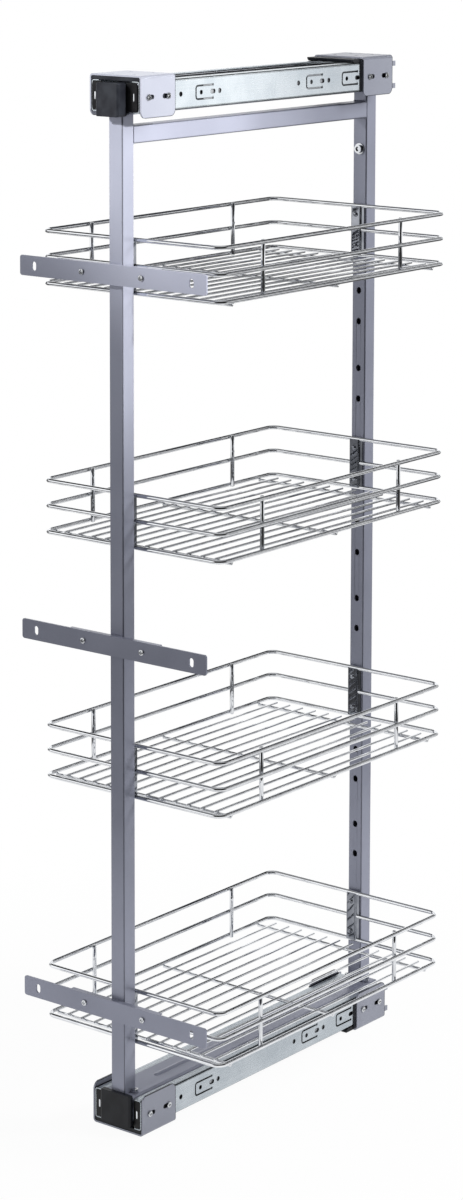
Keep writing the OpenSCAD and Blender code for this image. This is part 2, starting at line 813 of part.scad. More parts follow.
module plate_clamp(z) {
    translate([0, 0, z])
        difference() {
            along_y(-clamp_deep, clamp_deep)
                translate([-clamp_w / 2, -clamp_h / 2])
                    square([clamp_w, clamp_h]);
            along_y(-clamp_deep + clamp_sheet, clamp_deep)
                translate([-clamp_w / 2 - cut, -clamp_h / 2 + clamp_sheet])
                    square([clamp_w + 2 * cut, clamp_h - 2 * clamp_sheet]);
            for (side = [-1, 1])
                plate_hole(side * clamp_screw_pitch / 2, 0, screw_d + 2 * hole_gap);
        }
}

module door_plate_bottom() { painted() door_plate(plate_zs[0]); }
module door_plate_middle() { painted() door_plate(plate_zs[1]); }
module door_plate_top() { painted() door_plate(plate_zs[2]); }
module plate_clamp_bottom() { painted() plate_clamp(plate_zs[0]); }
module plate_clamp_middle() { painted() plate_clamp(plate_zs[1]); }
module plate_clamp_top() { painted() plate_clamp(plate_zs[2]); }

// Baskets: three bent rails, posts, cross wires, floor wires and two hooked hangers
module rail_loop(z) {
    a = basket_w / 2;
    r = rail_corner;
    depth = rail_rear_s - rail_front_s;
    for (x = [-a, a])
        rod_y(x, rail_front_s + r, z, rail_d, depth - 2 * r);
    for (s = [rail_front_s, rail_rear_s])
        rod_x(-a + r, s, z, rail_d, basket_w - 2 * r);
    for (side = [0, 1])
        for (end = [0, 1])
            mirror([side, 0, 0])
                translate([a - r, front_y + (end ? rail_rear_s - r : rail_front_s + r), z])
                    rotate([0, 0, end ? 0 : -90])
                        rotate_extrude(angle = 90)
                            translate([r, 0])
                                circle(d = rail_d);
}

module basket_floor() {
    over = basket_w / 2 + rail_r;
    cross_mid = (rail_front_s + rail_rear_s) / 2;
    for (s = [rail_front_s + cross_front_set, cross_mid, rail_rear_s - cross_rear_set])
        rod_x(-over, s, -cross_drop, cross_d, 2 * over);
    for (k = [0 : floor_count - 1])
        rod_y((k - (floor_count - 1) / 2) * floor_pitch, rail_front_s + floor_front_set, -floor_drop, floor_d,
              rail_rear_s - rail_front_s - floor_front_set - floor_rear_set);
}

module basket_posts() {
    for (x = [-post_x, post_x])
        for (s = [rail_front_s + post_front_set, rail_rear_s - post_rear_set])
            translate([x, front_y + s, -rail_r])
                cylinder(d = rail_d, h = basket_h + rail_d);
}

// A hanger seen from above: a bent channel that is open towards its upright
module hanger_profile() {
    w = hanger_w / 2;
    t = hanger_sheet;
    difference() {
        round_box(-w, -hanger_deep, w, hanger_deep, hanger_bend + t);
        round_box(-w + t, t - hanger_deep, w - t, hanger_deep - t, hanger_bend);
        translate([-w - cut, -hanger_deep - cut])
            square([hanger_w + 2 * cut, hanger_deep + cut]);
    }
}

// One hanger, drawn for the front upright with its free edges at zero depth; its web lies over the rails
module hanger() {
    linear_extrude(basket_h)
        hanger_profile();
    for (k = [0, 1])
        translate([0, 0, hook_z + k * slot_pair]) {
            hook();
            translate([0, hanger_deep, hook_t / 2])
                rivet_head();
        }
}

// A hook that goes from the web through the slot and drops behind the tube wall
module hook() {
    tip = -hanger_gap - tube_wall - hanger_gap - hook_nose;
    translate([-hook_w / 2, tip, 0])
        cube([hook_w, hanger_deep - hanger_sheet + weld - tip, hook_t]);
    translate([-hook_w / 2, tip, -hook_drop])
        cube([hook_w, hook_nose, hook_drop + hook_t]);
}

// A low dome on the face of the web
module rivet_head() {
    r = (pow(rivet_d / 2, 2) + pow(rivet_h, 2)) / (2 * rivet_h);
    intersection() {
        translate([0, rivet_h - r, 0])
            sphere(r);
        translate([0, -hanger_sheet / 2, 0])
            rotate([-90, 0, 0])
                cylinder(d = rivet_d, h = hanger_sheet + rivet_h);
    }
}

module basket(index) {
    chrome()
        translate([0, 0, basket_first_z + index * basket_pitch]) {
            for (z = [0, basket_mid, basket_h])
                rail_loop(z);
            basket_floor();
            basket_posts();
            translate([0, front_y + hanger_out_s, 0])
                hanger();
            translate([0, front_y + rear_upright_s - hanger_gap, 0])
                mirror([0, 1, 0])
                    hanger();
        }
}

module basket_1() { basket(0); }
module basket_2() { basket(1); }
module basket_3() { basket(2); }
module basket_4() { basket(3); }

// Fasteners: a round head with a hexagon socket, drawn with its seat at zero and its shank down
module fastener(d, len, head_d, head_h, socket) {
    difference() {
        union() {
            translate([0, 0, -len])
                cylinder(d = d, h = len);
            cylinder(d = head_d, h = head_h);
        }
        translate([0, 0, head_h * socket_floor])
            cylinder(d = socket / cos(30), h = head_h, $fn = 6);
    }
}

module slide_screws() {
    zinc()
        for (level = [0, 1])
            for (side = [-1, 1])
                place(side, level)
                    for (s = screw_rows_s)
                        translate([saddle_w / 2, front_y + s, slide_z])
                            rotate([0, 90, 0])
                                fastener(screw_d, saddle_sheet + liner_wall + slide_sheet, screw_head_d,
                                         screw_head_h, screw_socket);
}

module carrier_screws() {
    zinc()
        for (level = [0, 1])
            for (side = [-1, 1])
                place(side, level)
                    for (s = carrier_rows_s)
                        translate([beam_half + slide_sheet, front_y + s, slide_z])
                            rotate([0, 90, 0])
                                fastener(screw_d, slide_sheet + beam_sheet, screw_head_d, carrier_head_h,
                                         screw_socket);
}

module plate_screws() {
    zinc()
        for (z = plate_zs)
            for (side = [-1, 1])
                translate([side * clamp_screw_pitch / 2, front_y - clamp_deep - plate_t, z])
                    rotate([90, 0, 0])
                        fastener(screw_d, plate_t + clamp_sheet, screw_head_d, screw_head_h, screw_socket);
}

module inner_face_bolt(seat_s, dir, z, len) {
    translate([0, front_y + seat_s, z])
        rotate([dir > 0 ? -90 : 90, 0, 0])
            fastener(bolt_d, len, bolt_head_d, bolt_head_h, bolt_socket);
}

module frame_bolts() {
    zinc() {
        lock_len = washer_t + tube_wall;
        inner_face_bolt(tube_side + washer_t, 1, lock_z, lock_len);
        inner_face_bolt(rear_upright_s - washer_t, -1, lock_z, lock_len);
        at_feet()
            translate([foot_screw_x, 0, foot_tab_sheet])
                fastener(screw_d, foot_tab_sheet + beam_sheet, screw_head_d, screw_head_h, screw_socket);
    }
}

module upright_washers() {
    zinc()
        for (s = [tube_side, rear_upright_s - washer_t])
            difference() {
                rod_y(0, s, lock_z, washer_d, washer_t);
                rod_y(0, s - cut, lock_z, bolt_d + 2 * hole_gap, washer_t + 2 * cut);
            }
}

saddle_bottom_front();
saddle_bottom_rear();
saddle_top_front();
saddle_top_rear();
liner_bottom_front();
liner_bottom_rear();
liner_top_front();
liner_top_rear();
outer_rail_bottom_right();
outer_rail_bottom_left();
outer_rail_top_right();
outer_rail_top_left();
middle_rail_bottom_right();
middle_rail_bottom_left();
middle_rail_top_right();
middle_rail_top_left();
inner_rail_bottom_right();
inner_rail_bottom_left();
inner_rail_top_right();
inner_rail_top_left();
outer_cage_bottom_right();
outer_cage_bottom_left();
outer_cage_top_right();
outer_cage_top_left();
inner_cage_bottom_right();
inner_cage_bottom_left();
inner_cage_top_right();
inner_cage_top_left();
outer_balls_bottom_right();
outer_balls_bottom_left();
outer_balls_top_right();
outer_balls_top_left();
inner_balls_bottom_right();
inner_balls_bottom_left();
inner_balls_top_right();
inner_balls_top_left();
bottom_beam();
top_beam();
bottom_end_cap();
top_end_cap();
front_upright();
rear_upright();
cross_rail();
door_plate_bottom();
door_plate_middle();
door_plate_top();
plate_clamp_bottom();
plate_clamp_middle();
plate_clamp_top();
basket_1();
basket_2();
basket_3();
basket_4();
slide_screws();
carrier_screws();
plate_screws();
foot_tabs();
frame_bolts();
upright_washers();
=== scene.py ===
# %% [markdown]
# A pull-out pantry frame. Two square tubes stand between a bottom and a top beam, four chromed wire
# baskets hang between the tubes, and ball bearing slides at the floor and the ceiling let the frame come
# out of its cabinet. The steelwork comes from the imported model, which is loaded here and never moved.
# This lesson gives every surface its finish, eases the sharp edges, makes the baskets and the screws again
# as smooth surfaces, and adds the small pieces at the mouths of the slides.

# %% Load the frame
import json
import math

import bmesh
import bpy
import numpy as np
from mathutils import Matrix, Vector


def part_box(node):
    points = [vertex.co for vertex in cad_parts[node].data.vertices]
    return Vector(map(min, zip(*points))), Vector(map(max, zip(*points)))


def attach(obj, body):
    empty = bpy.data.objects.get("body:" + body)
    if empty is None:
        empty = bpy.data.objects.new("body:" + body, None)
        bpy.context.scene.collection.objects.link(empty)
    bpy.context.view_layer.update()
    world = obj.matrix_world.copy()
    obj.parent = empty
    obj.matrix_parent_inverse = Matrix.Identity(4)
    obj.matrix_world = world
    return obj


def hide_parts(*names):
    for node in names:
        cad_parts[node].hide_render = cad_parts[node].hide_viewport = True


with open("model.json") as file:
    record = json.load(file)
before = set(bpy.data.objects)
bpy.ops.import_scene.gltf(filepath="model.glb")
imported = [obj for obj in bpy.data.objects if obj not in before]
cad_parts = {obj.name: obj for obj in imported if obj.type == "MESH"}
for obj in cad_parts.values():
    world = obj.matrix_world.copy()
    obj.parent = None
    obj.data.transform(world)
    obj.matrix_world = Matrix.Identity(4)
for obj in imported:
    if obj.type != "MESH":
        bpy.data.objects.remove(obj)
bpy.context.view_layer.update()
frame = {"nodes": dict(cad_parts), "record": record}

MM = 0.001
nodes = frame["nodes"]


def corners(node):
    """The lowest and highest corner of a node, in millimetres."""
    return tuple(np.array(corner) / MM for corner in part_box(node))


# %% [markdown]
# The camera stands to the right of the door side and a little above the top of the frame, far enough away
# for a long lens. Its place was solved from the straight basket rails. The lens is shifted downwards, as on
# a view camera, so that the uprights stay parallel while the whole height is in the picture.

# %% Camera
PHOTO_HEIGHT = 1200
FOCAL_PIXELS = 3112.9
SENSOR = 36.0
LENS_SHIFT = -0.30
camera_place = np.array([2211.5, -2824.9, 1448.8]) * MM
turn, tilt, roll = np.radians([38.308, -7.099, 0.115])

ahead = np.array([-np.sin(turn) * np.cos(tilt), np.cos(turn) * np.cos(tilt), np.sin(tilt)])
level = np.array([np.cos(turn), np.sin(turn), 0.0])
lift = np.cross(level, ahead)
right = level * np.cos(roll) + lift * np.sin(roll)
upward = lift * np.cos(roll) - level * np.sin(roll)

lens = bpy.data.cameras.new("camera")
lens.sensor_width = SENSOR
lens.lens = FOCAL_PIXELS * SENSOR / PHOTO_HEIGHT
lens.shift_y = LENS_SHIFT
lens.clip_end = 100
camera = bpy.data.objects.new("camera", lens)
camera.matrix_world = Matrix(np.vstack([np.column_stack([right, upward, -ahead, camera_place]),
                                        [0, 0, 0, 1]]).tolist())
bpy.context.scene.collection.objects.link(camera)
bpy.context.scene.camera = camera
bpy.context.scene.view_settings.view_transform = "Standard"
print("camera with a lens of", round(lens.lens, 1), "mm")

# %% [markdown]
# A shader is a graph of nodes, and sums in it soon become hard to read. This small class wraps one socket,
# so that a sum on it is written as plain Python and adds its Math nodes by itself. Every other node comes
# from one method, which takes the node's type, then its settings, then what goes into its sockets.


# %% Shader sums
class Value:
    """A socket in a shader graph that Python can do sums with."""

    def __init__(self, tree, socket):
        self.tree = tree
        self.socket = socket

    def feed(self, target, value):
        """Links a value to a socket, or sets a plain number or colour on it."""
        if isinstance(value, Value):
            self.tree.links.new(value.socket, target)
        else:
            target.default_value = value

    def node(self, kind, settings=None, sockets=None, out=0):
        """Adds a node of that kind and gives back one of its outputs."""
        made = self.tree.nodes.new(kind)
        for name, setting in (settings or {}).items():
            setattr(made, name, setting)
        for name, value in (sockets or {}).items():
            self.feed(made.inputs[name], value)
        return Value(self.tree, made.outputs[out])

    def math(self, operation, *values):
        """A Math node of that operation on the given values, or on this one alone."""
        return self.node("ShaderNodeMath", {"operation": operation}, dict(enumerate(values or [self])))

    def __add__(self, other):
        return self.math("ADD", self, other)

    def __sub__(self, other):
        return self.math("SUBTRACT", self, other)

    def __rsub__(self, other):
        return self.math("SUBTRACT", other, self)

    def __mul__(self, other):
        return self.math("MULTIPLY", self, other)

    __radd__ = __add__
    __rmul__ = __mul__

    def largest(self, other):
        return self.math("MAXIMUM", self, other)

    def smallest(self, other):
        return self.math("MINIMUM", self, other)

    def smooth(self, low, high):
        """Goes from 0 at low to 1 at high, with soft ends."""
        settings = {"interpolation_type": "SMOOTHSTEP"}
        return self.node("ShaderNodeMapRange", settings, {"Value": self, "From Min": low, "From Max": high})

    def between(self, first, second):
        """A colour between two others, by this value."""
        return self.node("ShaderNodeMix", {"data_type": "RGBA"}, {0: self, 6: first, 7: second}, out=2)

    def noise(self, scale, detail=2.0, stretch=(1, 1, 1)):
        """Soft noise from 0 to 1 on this vector, with about scale bumps to the metre."""
        place = self.node("ShaderNodeMapping", {}, {"Vector": self, "Scale": stretch})
        return self.node("ShaderNodeTexNoise", {}, {"Vector": place, "Scale": scale, "Detail": detail})

    def bump(self, depth):
        """A surface normal for this height, with its bumps depth millimetres deep."""
        return self.node("ShaderNodeBump", {}, {"Height": self, "Distance": depth * MM})


def display(red, green, blue):
    """A colour as a screen shows it, 0 to 255, made linear for a shader."""
    shown = np.array([red, green, blue]) / 255
    linear = np.where(shown <= 0.04045, shown / 12.92, ((shown + 0.055) / 1.055) ** 2.4)
    return (*linear.tolist(), 1.0)


def new_finish(name, **fixed):
    """A material with fixed numbers on its shader, its shader, and its Object coordinates."""
    material = bpy.data.materials.new(name)
    material.use_nodes = True
    tree = material.node_tree
    shader = tree.nodes["Principled BSDF"]
    for socket, number in fixed.items():
        shader.inputs[socket.replace("_", " ").title()].default_value = number
    place = Value(tree, tree.nodes.new("ShaderNodeTexCoord").outputs["Object"])
    return material, shader, place


print("shader sums are ready")

# %% [markdown]
# The long edges of the square tubes and the cut edges of the saddles get painted shade: a darker line
# along each edge that stands in for the shade and dark reflection there. A shader can't look for edges, but
# each of these lies at a known place in the box of its node. So a line along an edge is a sum on the place:
# it is one beside the edge and falls to zero within about a millimetre.


# %% Painted edge shade
def spots(place):
    """The x, y and z of a place, as three values."""
    return [place.node("ShaderNodeSeparateXYZ", {}, {0: place}, out=axis) for axis in range(3)]


def near_edge(spot, edge, line):
    """Zero until the first number of a line inside an edge, and one from its second number on, in millimetres."""
    return spot.smooth((edge - line[0]) * MM, (edge - line[1]) * MM)


TUBE_LINE = 1.2, 0.5


def tube_edge_shade(place, node, along):
    """Painted shade: one along the four long edges of a square tube, and zero on its faces."""
    low, high = [corner.tolist() for corner in corners(node)]
    mask = 1.0
    for axis in {0, 1, 2} - {along}:
        off_middle = (spots(place)[axis] - (low[axis] + high[axis]) / 2 * MM).math("ABSOLUTE")
        mask = near_edge(off_middle, (high[axis] - low[axis]) / 2, TUBE_LINE) * mask
    return mask


def outside(y, z, low, high, corner):
    """How far a point lies outside a rounded rectangle in y and z, in metres, and below zero inside it."""
    gaps = []
    for spot, start, stop in zip((y, z), low, high):
        straight = (stop - start) / 2 - corner
        gaps.append((spot - (start + stop) / 2 * MM).math("ABSOLUTE") - straight * MM)
    over = [gap.largest(0.0) for gap in gaps]
    to_corner = (over[0] * over[0] + over[1] * over[1]).math("SQRT")
    return to_corner + gaps[0].largest(gaps[1]).smallest(0.0) - corner * MM


CHEEK_LONG, CHEEK_CORNER, CHEEK_SHEET = 59.0, 8.0, 2.0
CUT_LINE, CHEEK_START, TAB_START = (1.1, 0.5), (0.4, 0.0), (-0.1, -0.5)


def cheek_edge_shade(place, saddle):
    """Painted shade: one along the cut edges of a saddle's cheeks, at the rear and on the side away from the base.
    """
    low, high = [corner.tolist() for corner in corners(saddle)]
    x, y, z = spots(place)
    rear = low[1] + CHEEK_LONG
    base = (-CHEEK_LONG, 0) if "bottom" in saddle else (0, CHEEK_LONG)
    edge = outside(y, z, (low[1] - CHEEK_LONG, low[2] + base[0]), (rear, high[2] + base[1]), CHEEK_CORNER)
    on_cheek = near_edge(x.math("ABSOLUTE"), high[0] - CHEEK_SHEET, CHEEK_START)
    on_tabs = near_edge(y, rear, TAB_START)
    return near_edge(edge, 0.0, CUT_LINE) * on_cheek * (1 - on_tabs)


print("the uprights measure", np.ptp(corners("front_upright"), axis=0)[:2].round(1), "mm across")

# %% [markdown]
# The uprights, beams and door plates wear a satin grey coat with a touch of lilac and a little metal in it.
# Sprayed coats are never even: the tone drifts slowly, fine flakes glint, and the skin has a faint orange
# peel. Three noises of different sizes give these, and none needs a picture file. Each tube and each saddle
# has a coat of its own, because the painted shade along their edges lies at different places.

# %% Grey coat
# The dark colour of the painted shade along the edges of tubes and saddles.
EDGE_SHADE = display(64, 66, 74)


def grey_coat(name, dark, light, rough, edge_shade_at=None):
    """A sprayed coat: a tone that drifts, flakes that glint and a fine orange peel; painted shade where a mask is
    given.
    """
    material, shader, place = new_finish(name, metallic=0.5)
    drift = place.noise(scale=7, detail=3)
    flake = place.noise(scale=2600, detail=1)
    peel = place.noise(scale=650, detail=1)
    tone = (drift * 0.7 + flake * 0.3).smooth(0.3, 0.7)
    colour = tone.between(dark, light)
    # Painted shade: the edge mask darkens the coat along the edges.
    if edge_shade_at:
        colour = edge_shade_at(place).between(colour, EDGE_SHADE)
    place.feed(shader.inputs["Base Color"], colour)
    place.feed(shader.inputs["Roughness"], rough + drift * 0.12 - flake * 0.06)
    place.feed(shader.inputs["Normal"], (peel + flake * 0.3).bump(0.012))
    return material


PAINT = display(132, 135, 150), display(149, 152, 168), 0.30    # dark tone, light tone and roughness
frame_paint = grey_coat("frame_paint", *PAINT)
TUBES = {"front_upright": 2, "rear_upright": 2, "cross_rail": 1}    # the axis that each runs along
# Each tube gets painted shade along its long edges.
own_finish = {tube: grey_coat(f"{tube}_paint", *PAINT, lambda place: tube_edge_shade(place, tube, along))
              for tube, along in TUBES.items()}
SADDLE_COAT = display(135, 138, 151), display(151, 154, 166), 0.30
saddle_steel = grey_coat("saddle_steel", *SADDLE_COAT)
LEVELS, ENDS = ("bottom", "top"), ("front", "rear")
# Each saddle gets painted shade along the cut edges of its cheeks.
for saddle in [f"saddle_{level_name}_{end}" for level_name in LEVELS for end in ENDS]:
    own_finish[saddle] = grey_coat(f"{saddle}_coat", *SADDLE_COAT, lambda place: cheek_edge_shade(place, saddle))
print("made", frame_paint.name, saddle_steel.name, "and", len(own_finish), "coats for tubes and saddles")

# %% [markdown]
# The slides are rolled from zinc plated strip. Rolling leaves long fine lines along the strip, and the
# plating has a bluish cast with faint cloudy patches. The lines are noise that is squeezed across the strip
# and stretched along it, so they follow the rolling direction. Cages are plain strip of the same kind. The
# middle members, which run between two ball cages, are made dark as a painted shade for what shows
# through the slits and holes of the outer members.

# %% Rolled strip
# The dark colour of the painted shade in the slits, holes and bends of the slides.
SLIT_SHADE = display(40, 42, 46)


def rolled_strip(name, dark, light, rough, slit_shade_at=None):
    """Rolled strip: long lines along the slide, cloudy plating and a dull bloom; painted shade where a mask is
    given.
    """
    material, shader, place = new_finish(name, metallic=0.8)
    lines = place.noise(scale=1, detail=2, stretch=(700, 4, 700))
    cloud = place.noise(scale=38, detail=3)
    tone = (cloud * 0.65 + lines * 0.35).smooth(0.32, 0.68)
    colour = tone.between(dark, light)
    # Painted shade: the mask darkens the strip.
    if slit_shade_at:
        colour = slit_shade_at(place).between(colour, SLIT_SHADE)
    place.feed(shader.inputs["Base Color"], colour)
    place.feed(shader.inputs["Roughness"], rough + lines * 0.14 + cloud * 0.08)
    place.feed(shader.inputs["Normal"], lines.bump(0.004))
    return material


ZINC = display(176, 184, 191), display(194, 201, 207), 0.16
zinc_rail = rolled_strip("zinc_rail", *ZINC)
# The middle members are made dark as a painted shade, for what shows through the slits and holes.
dark_strip_shade = rolled_strip("dark_strip_shade", display(78, 81, 86), display(106, 109, 114), 0.30)
own_finish.update({name: dark_strip_shade for name in nodes if name.startswith("middle_rail")})
cage_steel = rolled_strip("cage_steel", display(160, 163, 169), display(184, 187, 192), 0.24)
print("made", zinc_rail.name, dark_strip_shade.name, "and", cage_steel.name)

# %% [markdown]
# Each outer member has plain holes, and tongues that are cut free on three sides by a slit. The shade in
# such cuts and along the bends is painted on as a dark line. The line is worked out from the same places
# and sizes as the cuts, as a distance from each rounded shape.

# %% Painted shade in cuts and bends
RAIL_HOLES, RAIL_HOLE_D = (70, 139, 286, 345), 5.0
LANCES, LANCE_LONG, LANCE_HALF, LANCE_CORNER, SLIT = (96, 301, 371), 31.0, 7.5, 3.25, 1.5
LANCE_HOLE, LANCE_SLOT_LONG, LANCE_CUT_D = 10.0, 8.0, 4.5
WEB_LINE, BEND_LINE = (2.0, 1.2), (1.7, 0.9)
SLIT_LINE, SLIT_END, HOLE_LINE = (-0.8, -1.3), (0.0, -1.5), (-0.1, -0.7)


def slit_shade_lines(place, rail):
    """Painted shade: one along the bends and slits and round the holes of the outer slide members on one level."""
    low, high = [corner.tolist() for corner in corners(rail)]
    front, middle, half = low[1], (low[2] + high[2]) / 2, (high[2] - low[2]) / 2
    x, y, z = spots(place)
    lines = near_edge(x.math("ABSOLUTE"), high[0], WEB_LINE)
    lines = lines * near_edge((z - middle * MM).math("ABSOLUTE"), half, BEND_LINE)
    cuts = [(hole, 0.0, RAIL_HOLE_D) for hole in RAIL_HOLES]    # place, straight run and width
    for lance in LANCES:
        start, stop = front + lance, front + lance + LANCE_LONG
        slit = outside(y, z, (start + SLIT / 2, middle - LANCE_HALF), (stop + LANCE_LONG, middle + LANCE_HALF),
                       LANCE_CORNER).math("ABSOLUTE")
        lines = lines.largest((1 - near_edge(slit, 0.0, SLIT_LINE)) * (1 - near_edge(y, stop, SLIT_END)))
        cuts += [(lance + LANCE_HOLE, 0.0, LANCE_CUT_D),
                 (lance + LANCE_LONG, LANCE_SLOT_LONG - LANCE_CUT_D, LANCE_CUT_D)]
    for station, run, wide in cuts:
        reach = (run + wide) / 2
        cut = outside(y, z, (front + station - reach, middle - wide / 2),
                      (front + station + reach, middle + wide / 2), wide / 2)
        lines = lines.largest(1 - near_edge(cut, 0.0, HOLE_LINE))
    return lines


# The outer members of each level get painted shade in their cuts and along their bends.
for level_name in LEVELS:
    shaded_rail = rolled_strip(f"{level_name}_rail_zinc", *ZINC,
                         lambda place: slit_shade_lines(place, f"outer_rail_{level_name}_right"))
    own_finish[f"outer_rail_{level_name}_right"] = own_finish[f"outer_rail_{level_name}_left"] = shaded_rail
    print("made", shaded_rail.name, "with", len(shaded_rail.node_tree.nodes), "nodes")

# %% [markdown]
# Chrome is almost a mirror, so its look is the look of the room. What the material itself adds is small:
# the drawn wire below leaves soft waves, and handling leaves a haze that dulls some spots. Balls and
# screws share the recipe with other tones: polished steel is darker, and zinc on a screw is duller. The
# sheet of the basket hangers takes a thinner, darker plate than the wires.


# %% Bright plate
def bright_plate(name, dark, light, rough, haze, wave):
    """Bright plating: a mirror with a patchy haze and slow waves in its skin."""
    material, shader, place = new_finish(name, metallic=1.0)
    patch = place.noise(scale=45, detail=3)
    skin = place.noise(scale=210, detail=2)
    place.feed(shader.inputs["Base Color"], patch.smooth(0.3, 0.7).between(dark, light))
    place.feed(shader.inputs["Roughness"], rough + patch.smooth(0.45, 0.75) * haze)
    place.feed(shader.inputs["Normal"], skin.bump(wave))
    return material


basket_chrome = bright_plate("basket_chrome", display(214, 216, 220), display(232, 234, 237),
                             rough=0.03, haze=0.05, wave=0.02)
ball_steel = bright_plate("ball_steel", display(196, 198, 202), display(214, 216, 219),
                          rough=0.06, haze=0.06, wave=0.004)
fastener_zinc = bright_plate("fastener_zinc", display(190, 193, 198), display(214, 216, 219),
                             rough=0.06, haze=0.08, wave=0.01)
hanger_plate = bright_plate("hanger_plate", display(120, 123, 131), display(156, 159, 166),
                            rough=0.03, haze=0.06, wave=0.03)
print("made", basket_chrome.name, hanger_plate.name, ball_steel.name, "and", fastener_zinc.name)

# %% [markdown]
# Caps and slide trays are moulded from black plastic. The mould is spark eroded, which prints a fine matt
# grain, and rubbed places turn a little glossier. The grain is noise about half a millimetre across. The
# slide bumpers take a deeper black, a painted shade for the dark beside the caps.


# %% Black plastic
def moulded(name, dark, light):
    """Moulded plastic: a fine matt grain, with paler and glossier patches where it is rubbed."""
    material, shader, place = new_finish(name)
    shader.inputs["Specular IOR Level"].default_value = 0.25
    grain = place.noise(scale=1700, detail=2)
    rubbed = place.noise(scale=60, detail=3)
    place.feed(shader.inputs["Base Color"], rubbed.smooth(0.35, 0.7).between(dark, light))
    place.feed(shader.inputs["Roughness"], 0.46 - rubbed * 0.2 + grain * 0.08)
    place.feed(shader.inputs["Normal"], grain.bump(0.03))
    return material


black_plastic = moulded("black_plastic", display(18, 19, 24), display(29, 31, 36))
# A deeper black that paints the shade beside the caps.
bumper_shade_black = moulded("bumper_shade_black", display(6, 6, 8), display(13, 13, 15))
print("made", black_plastic.name, "and", bumper_shade_black.name)

# %% [markdown]
# The record of the imported model says which finish each node takes, apart from those with a finish of their
# own. A node whose shape is right stays as it is and gets that material. Real sheet is never knife sharp, so
# each node of sheet steel, paint, plastic, zinc strip or fasteners also gets live modifiers: Weld joins its loose
# triangles, Bevel rounds edges that turn sharply, and Weighted Normal keeps the flat faces flat in the shading.

# %% Dress the nodes
FINISHES = {"saddle_steel": saddle_steel, "black_plastic": black_plastic, "zinc_rail": zinc_rail,
            "cage_steel": cage_steel, "ball_steel": ball_steel, "frame_paint": frame_paint,
            "basket_chrome": basket_chrome, "fastener_zinc": fastener_zinc}
EDGE_ROUND = {"saddle_steel": 0.4, "black_plastic": 0.5, "zinc_rail": 0.2, "frame_paint": 0.35,
              "fastener_zinc": 0.3}
SHARP_TURN, WELD_WITHIN = math.radians(35), 0.002


def ease_edges(thing, width):
    """Rounds every sharp edge of an object by width millimetres, as a live modifier."""
    weld = thing.modifiers.new("weld", "WELD")
    weld.merge_threshold = WELD_WITHIN * MM
    ease = thing.modifiers.new("ease", "BEVEL")
    ease.width = width * MM
    ease.segments = 2
    ease.limit_method = "ANGLE"
    ease.angle_limit = SHARP_TURN
    thing.modifiers.new("normals", "WEIGHTED_NORMAL")


for row in frame["record"]["subparts"]:
    node, slot = nodes[row["node"]], row["material_slot"]
    node.data.materials.clear()
    node.data.materials.append(own_finish.get(row["node"], FINISHES[slot]))
    if slot in EDGE_ROUND:
        ease_edges(node, EDGE_ROUND[slot])

# %% [markdown]
# New pieces are worked out as grids of points. A grid becomes a mesh by joining neighbours with quads. Each
# row runs round the piece, so its last point joins the first again, and on a bent rail the last row joins the
# first as well. Where a row shrinks to one point, as at the tip of a rod, the points there are merged, so that
# the skin is closed.


# %% From grids to meshes
def quads(rows, columns, closed_rows=False):
    """Faces between each point of a grid and its next neighbours; every row closes on itself."""
    row, column = np.meshgrid(np.arange(rows if closed_rows else rows - 1), np.arange(columns), indexing="ij")
    next_row, next_column = (row + 1) % rows, (column + 1) % columns
    around = [(row, column), (row, next_column), (next_row, next_column), (next_row, column)]
    return np.stack([r * columns + c for r, c in around], axis=-1).reshape(-1, 4)


def sheaf(grids, closed_rows=False):
    """Points and faces of many grids of one size, given as copies, rows, columns and x, y, z."""
    copies, rows, columns, _ = grids.shape
    one = quads(rows, columns, closed_rows)
    faces = one[None] + (np.arange(copies) * rows * columns)[:, None, None]
    return grids.reshape(-1, 3), faces.reshape(-1, 4).tolist()


def gather(*shapes):
    """Several shapes as one: their points in a row, and their faces counted on."""
    starts = np.cumsum([0] + [len(points) for points, _ in shapes])
    faces = [[start + corner for corner in face]
             for start, (_, shape_faces) in zip(starts, shapes) for face in shape_faces]
    return np.concatenate([points for points, _ in shapes]), faces


print("a grid of 3 by 4 has", len(quads(3, 4)), "faces")

# %% [markdown]
# A mesh becomes a piece of the pantry frame when its seams are closed, its faces point outwards, it wears a
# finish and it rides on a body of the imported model. A piece that stands for a node also hides that node.

# %% From meshes to pieces
MERGE_WITHIN = 0.001


def make_piece(name, shape, body, slot, *stands_for, finish=None):
    """An object from points in millimetres, closed, turned outwards, smooth and riding on its body."""
    points, faces = shape
    mesh = bpy.data.meshes.new(name)
    mesh.from_pydata((points * MM).tolist(), [], faces)
    work = bmesh.new()
    work.from_mesh(mesh)
    bmesh.ops.remove_doubles(work, verts=work.verts, dist=MERGE_WITHIN * MM)
    bmesh.ops.recalc_face_normals(work, faces=work.faces)
    work.to_mesh(mesh)
    work.free()
    mesh.shade_smooth()
    mesh.materials.append(finish or FINISHES[slot])
    thing = bpy.data.objects.new(name, mesh)
    bpy.context.scene.collection.objects.link(thing)
    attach(thing, body)
    if stands_for:
        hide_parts(*stands_for)
    return thing


# %% [markdown]
# Rods, tips and heads are turned shapes. A turned surface needs only its outline: how far each station is
# along the axis, and how far out the skin lies there. One call turns a whole set of rods at once, because
# the points of all of them are worked out as one array.


# %% Turned shapes
def full_turn(steps):
    """Angles evenly round a circle."""
    return np.arange(steps) * 2 * np.pi / steps


def quarter_turn(steps):
    """Angles from zero to a right angle."""
    return np.linspace(0, np.pi / 2, steps)


UPRIGHT, TIP_STEPS = 0.9, 5


def cross_axes(along):
    """Two directions square to each axis and to each other."""
    spare = np.where(np.abs(along[:, 2:]) > UPRIGHT, [[1.0, 0.0, 0.0]], [[0.0, 0.0, 1.0]])
    side = np.cross(along, spare)
    side /= np.linalg.norm(side, axis=1, keepdims=True)
    return side, np.cross(along, side)


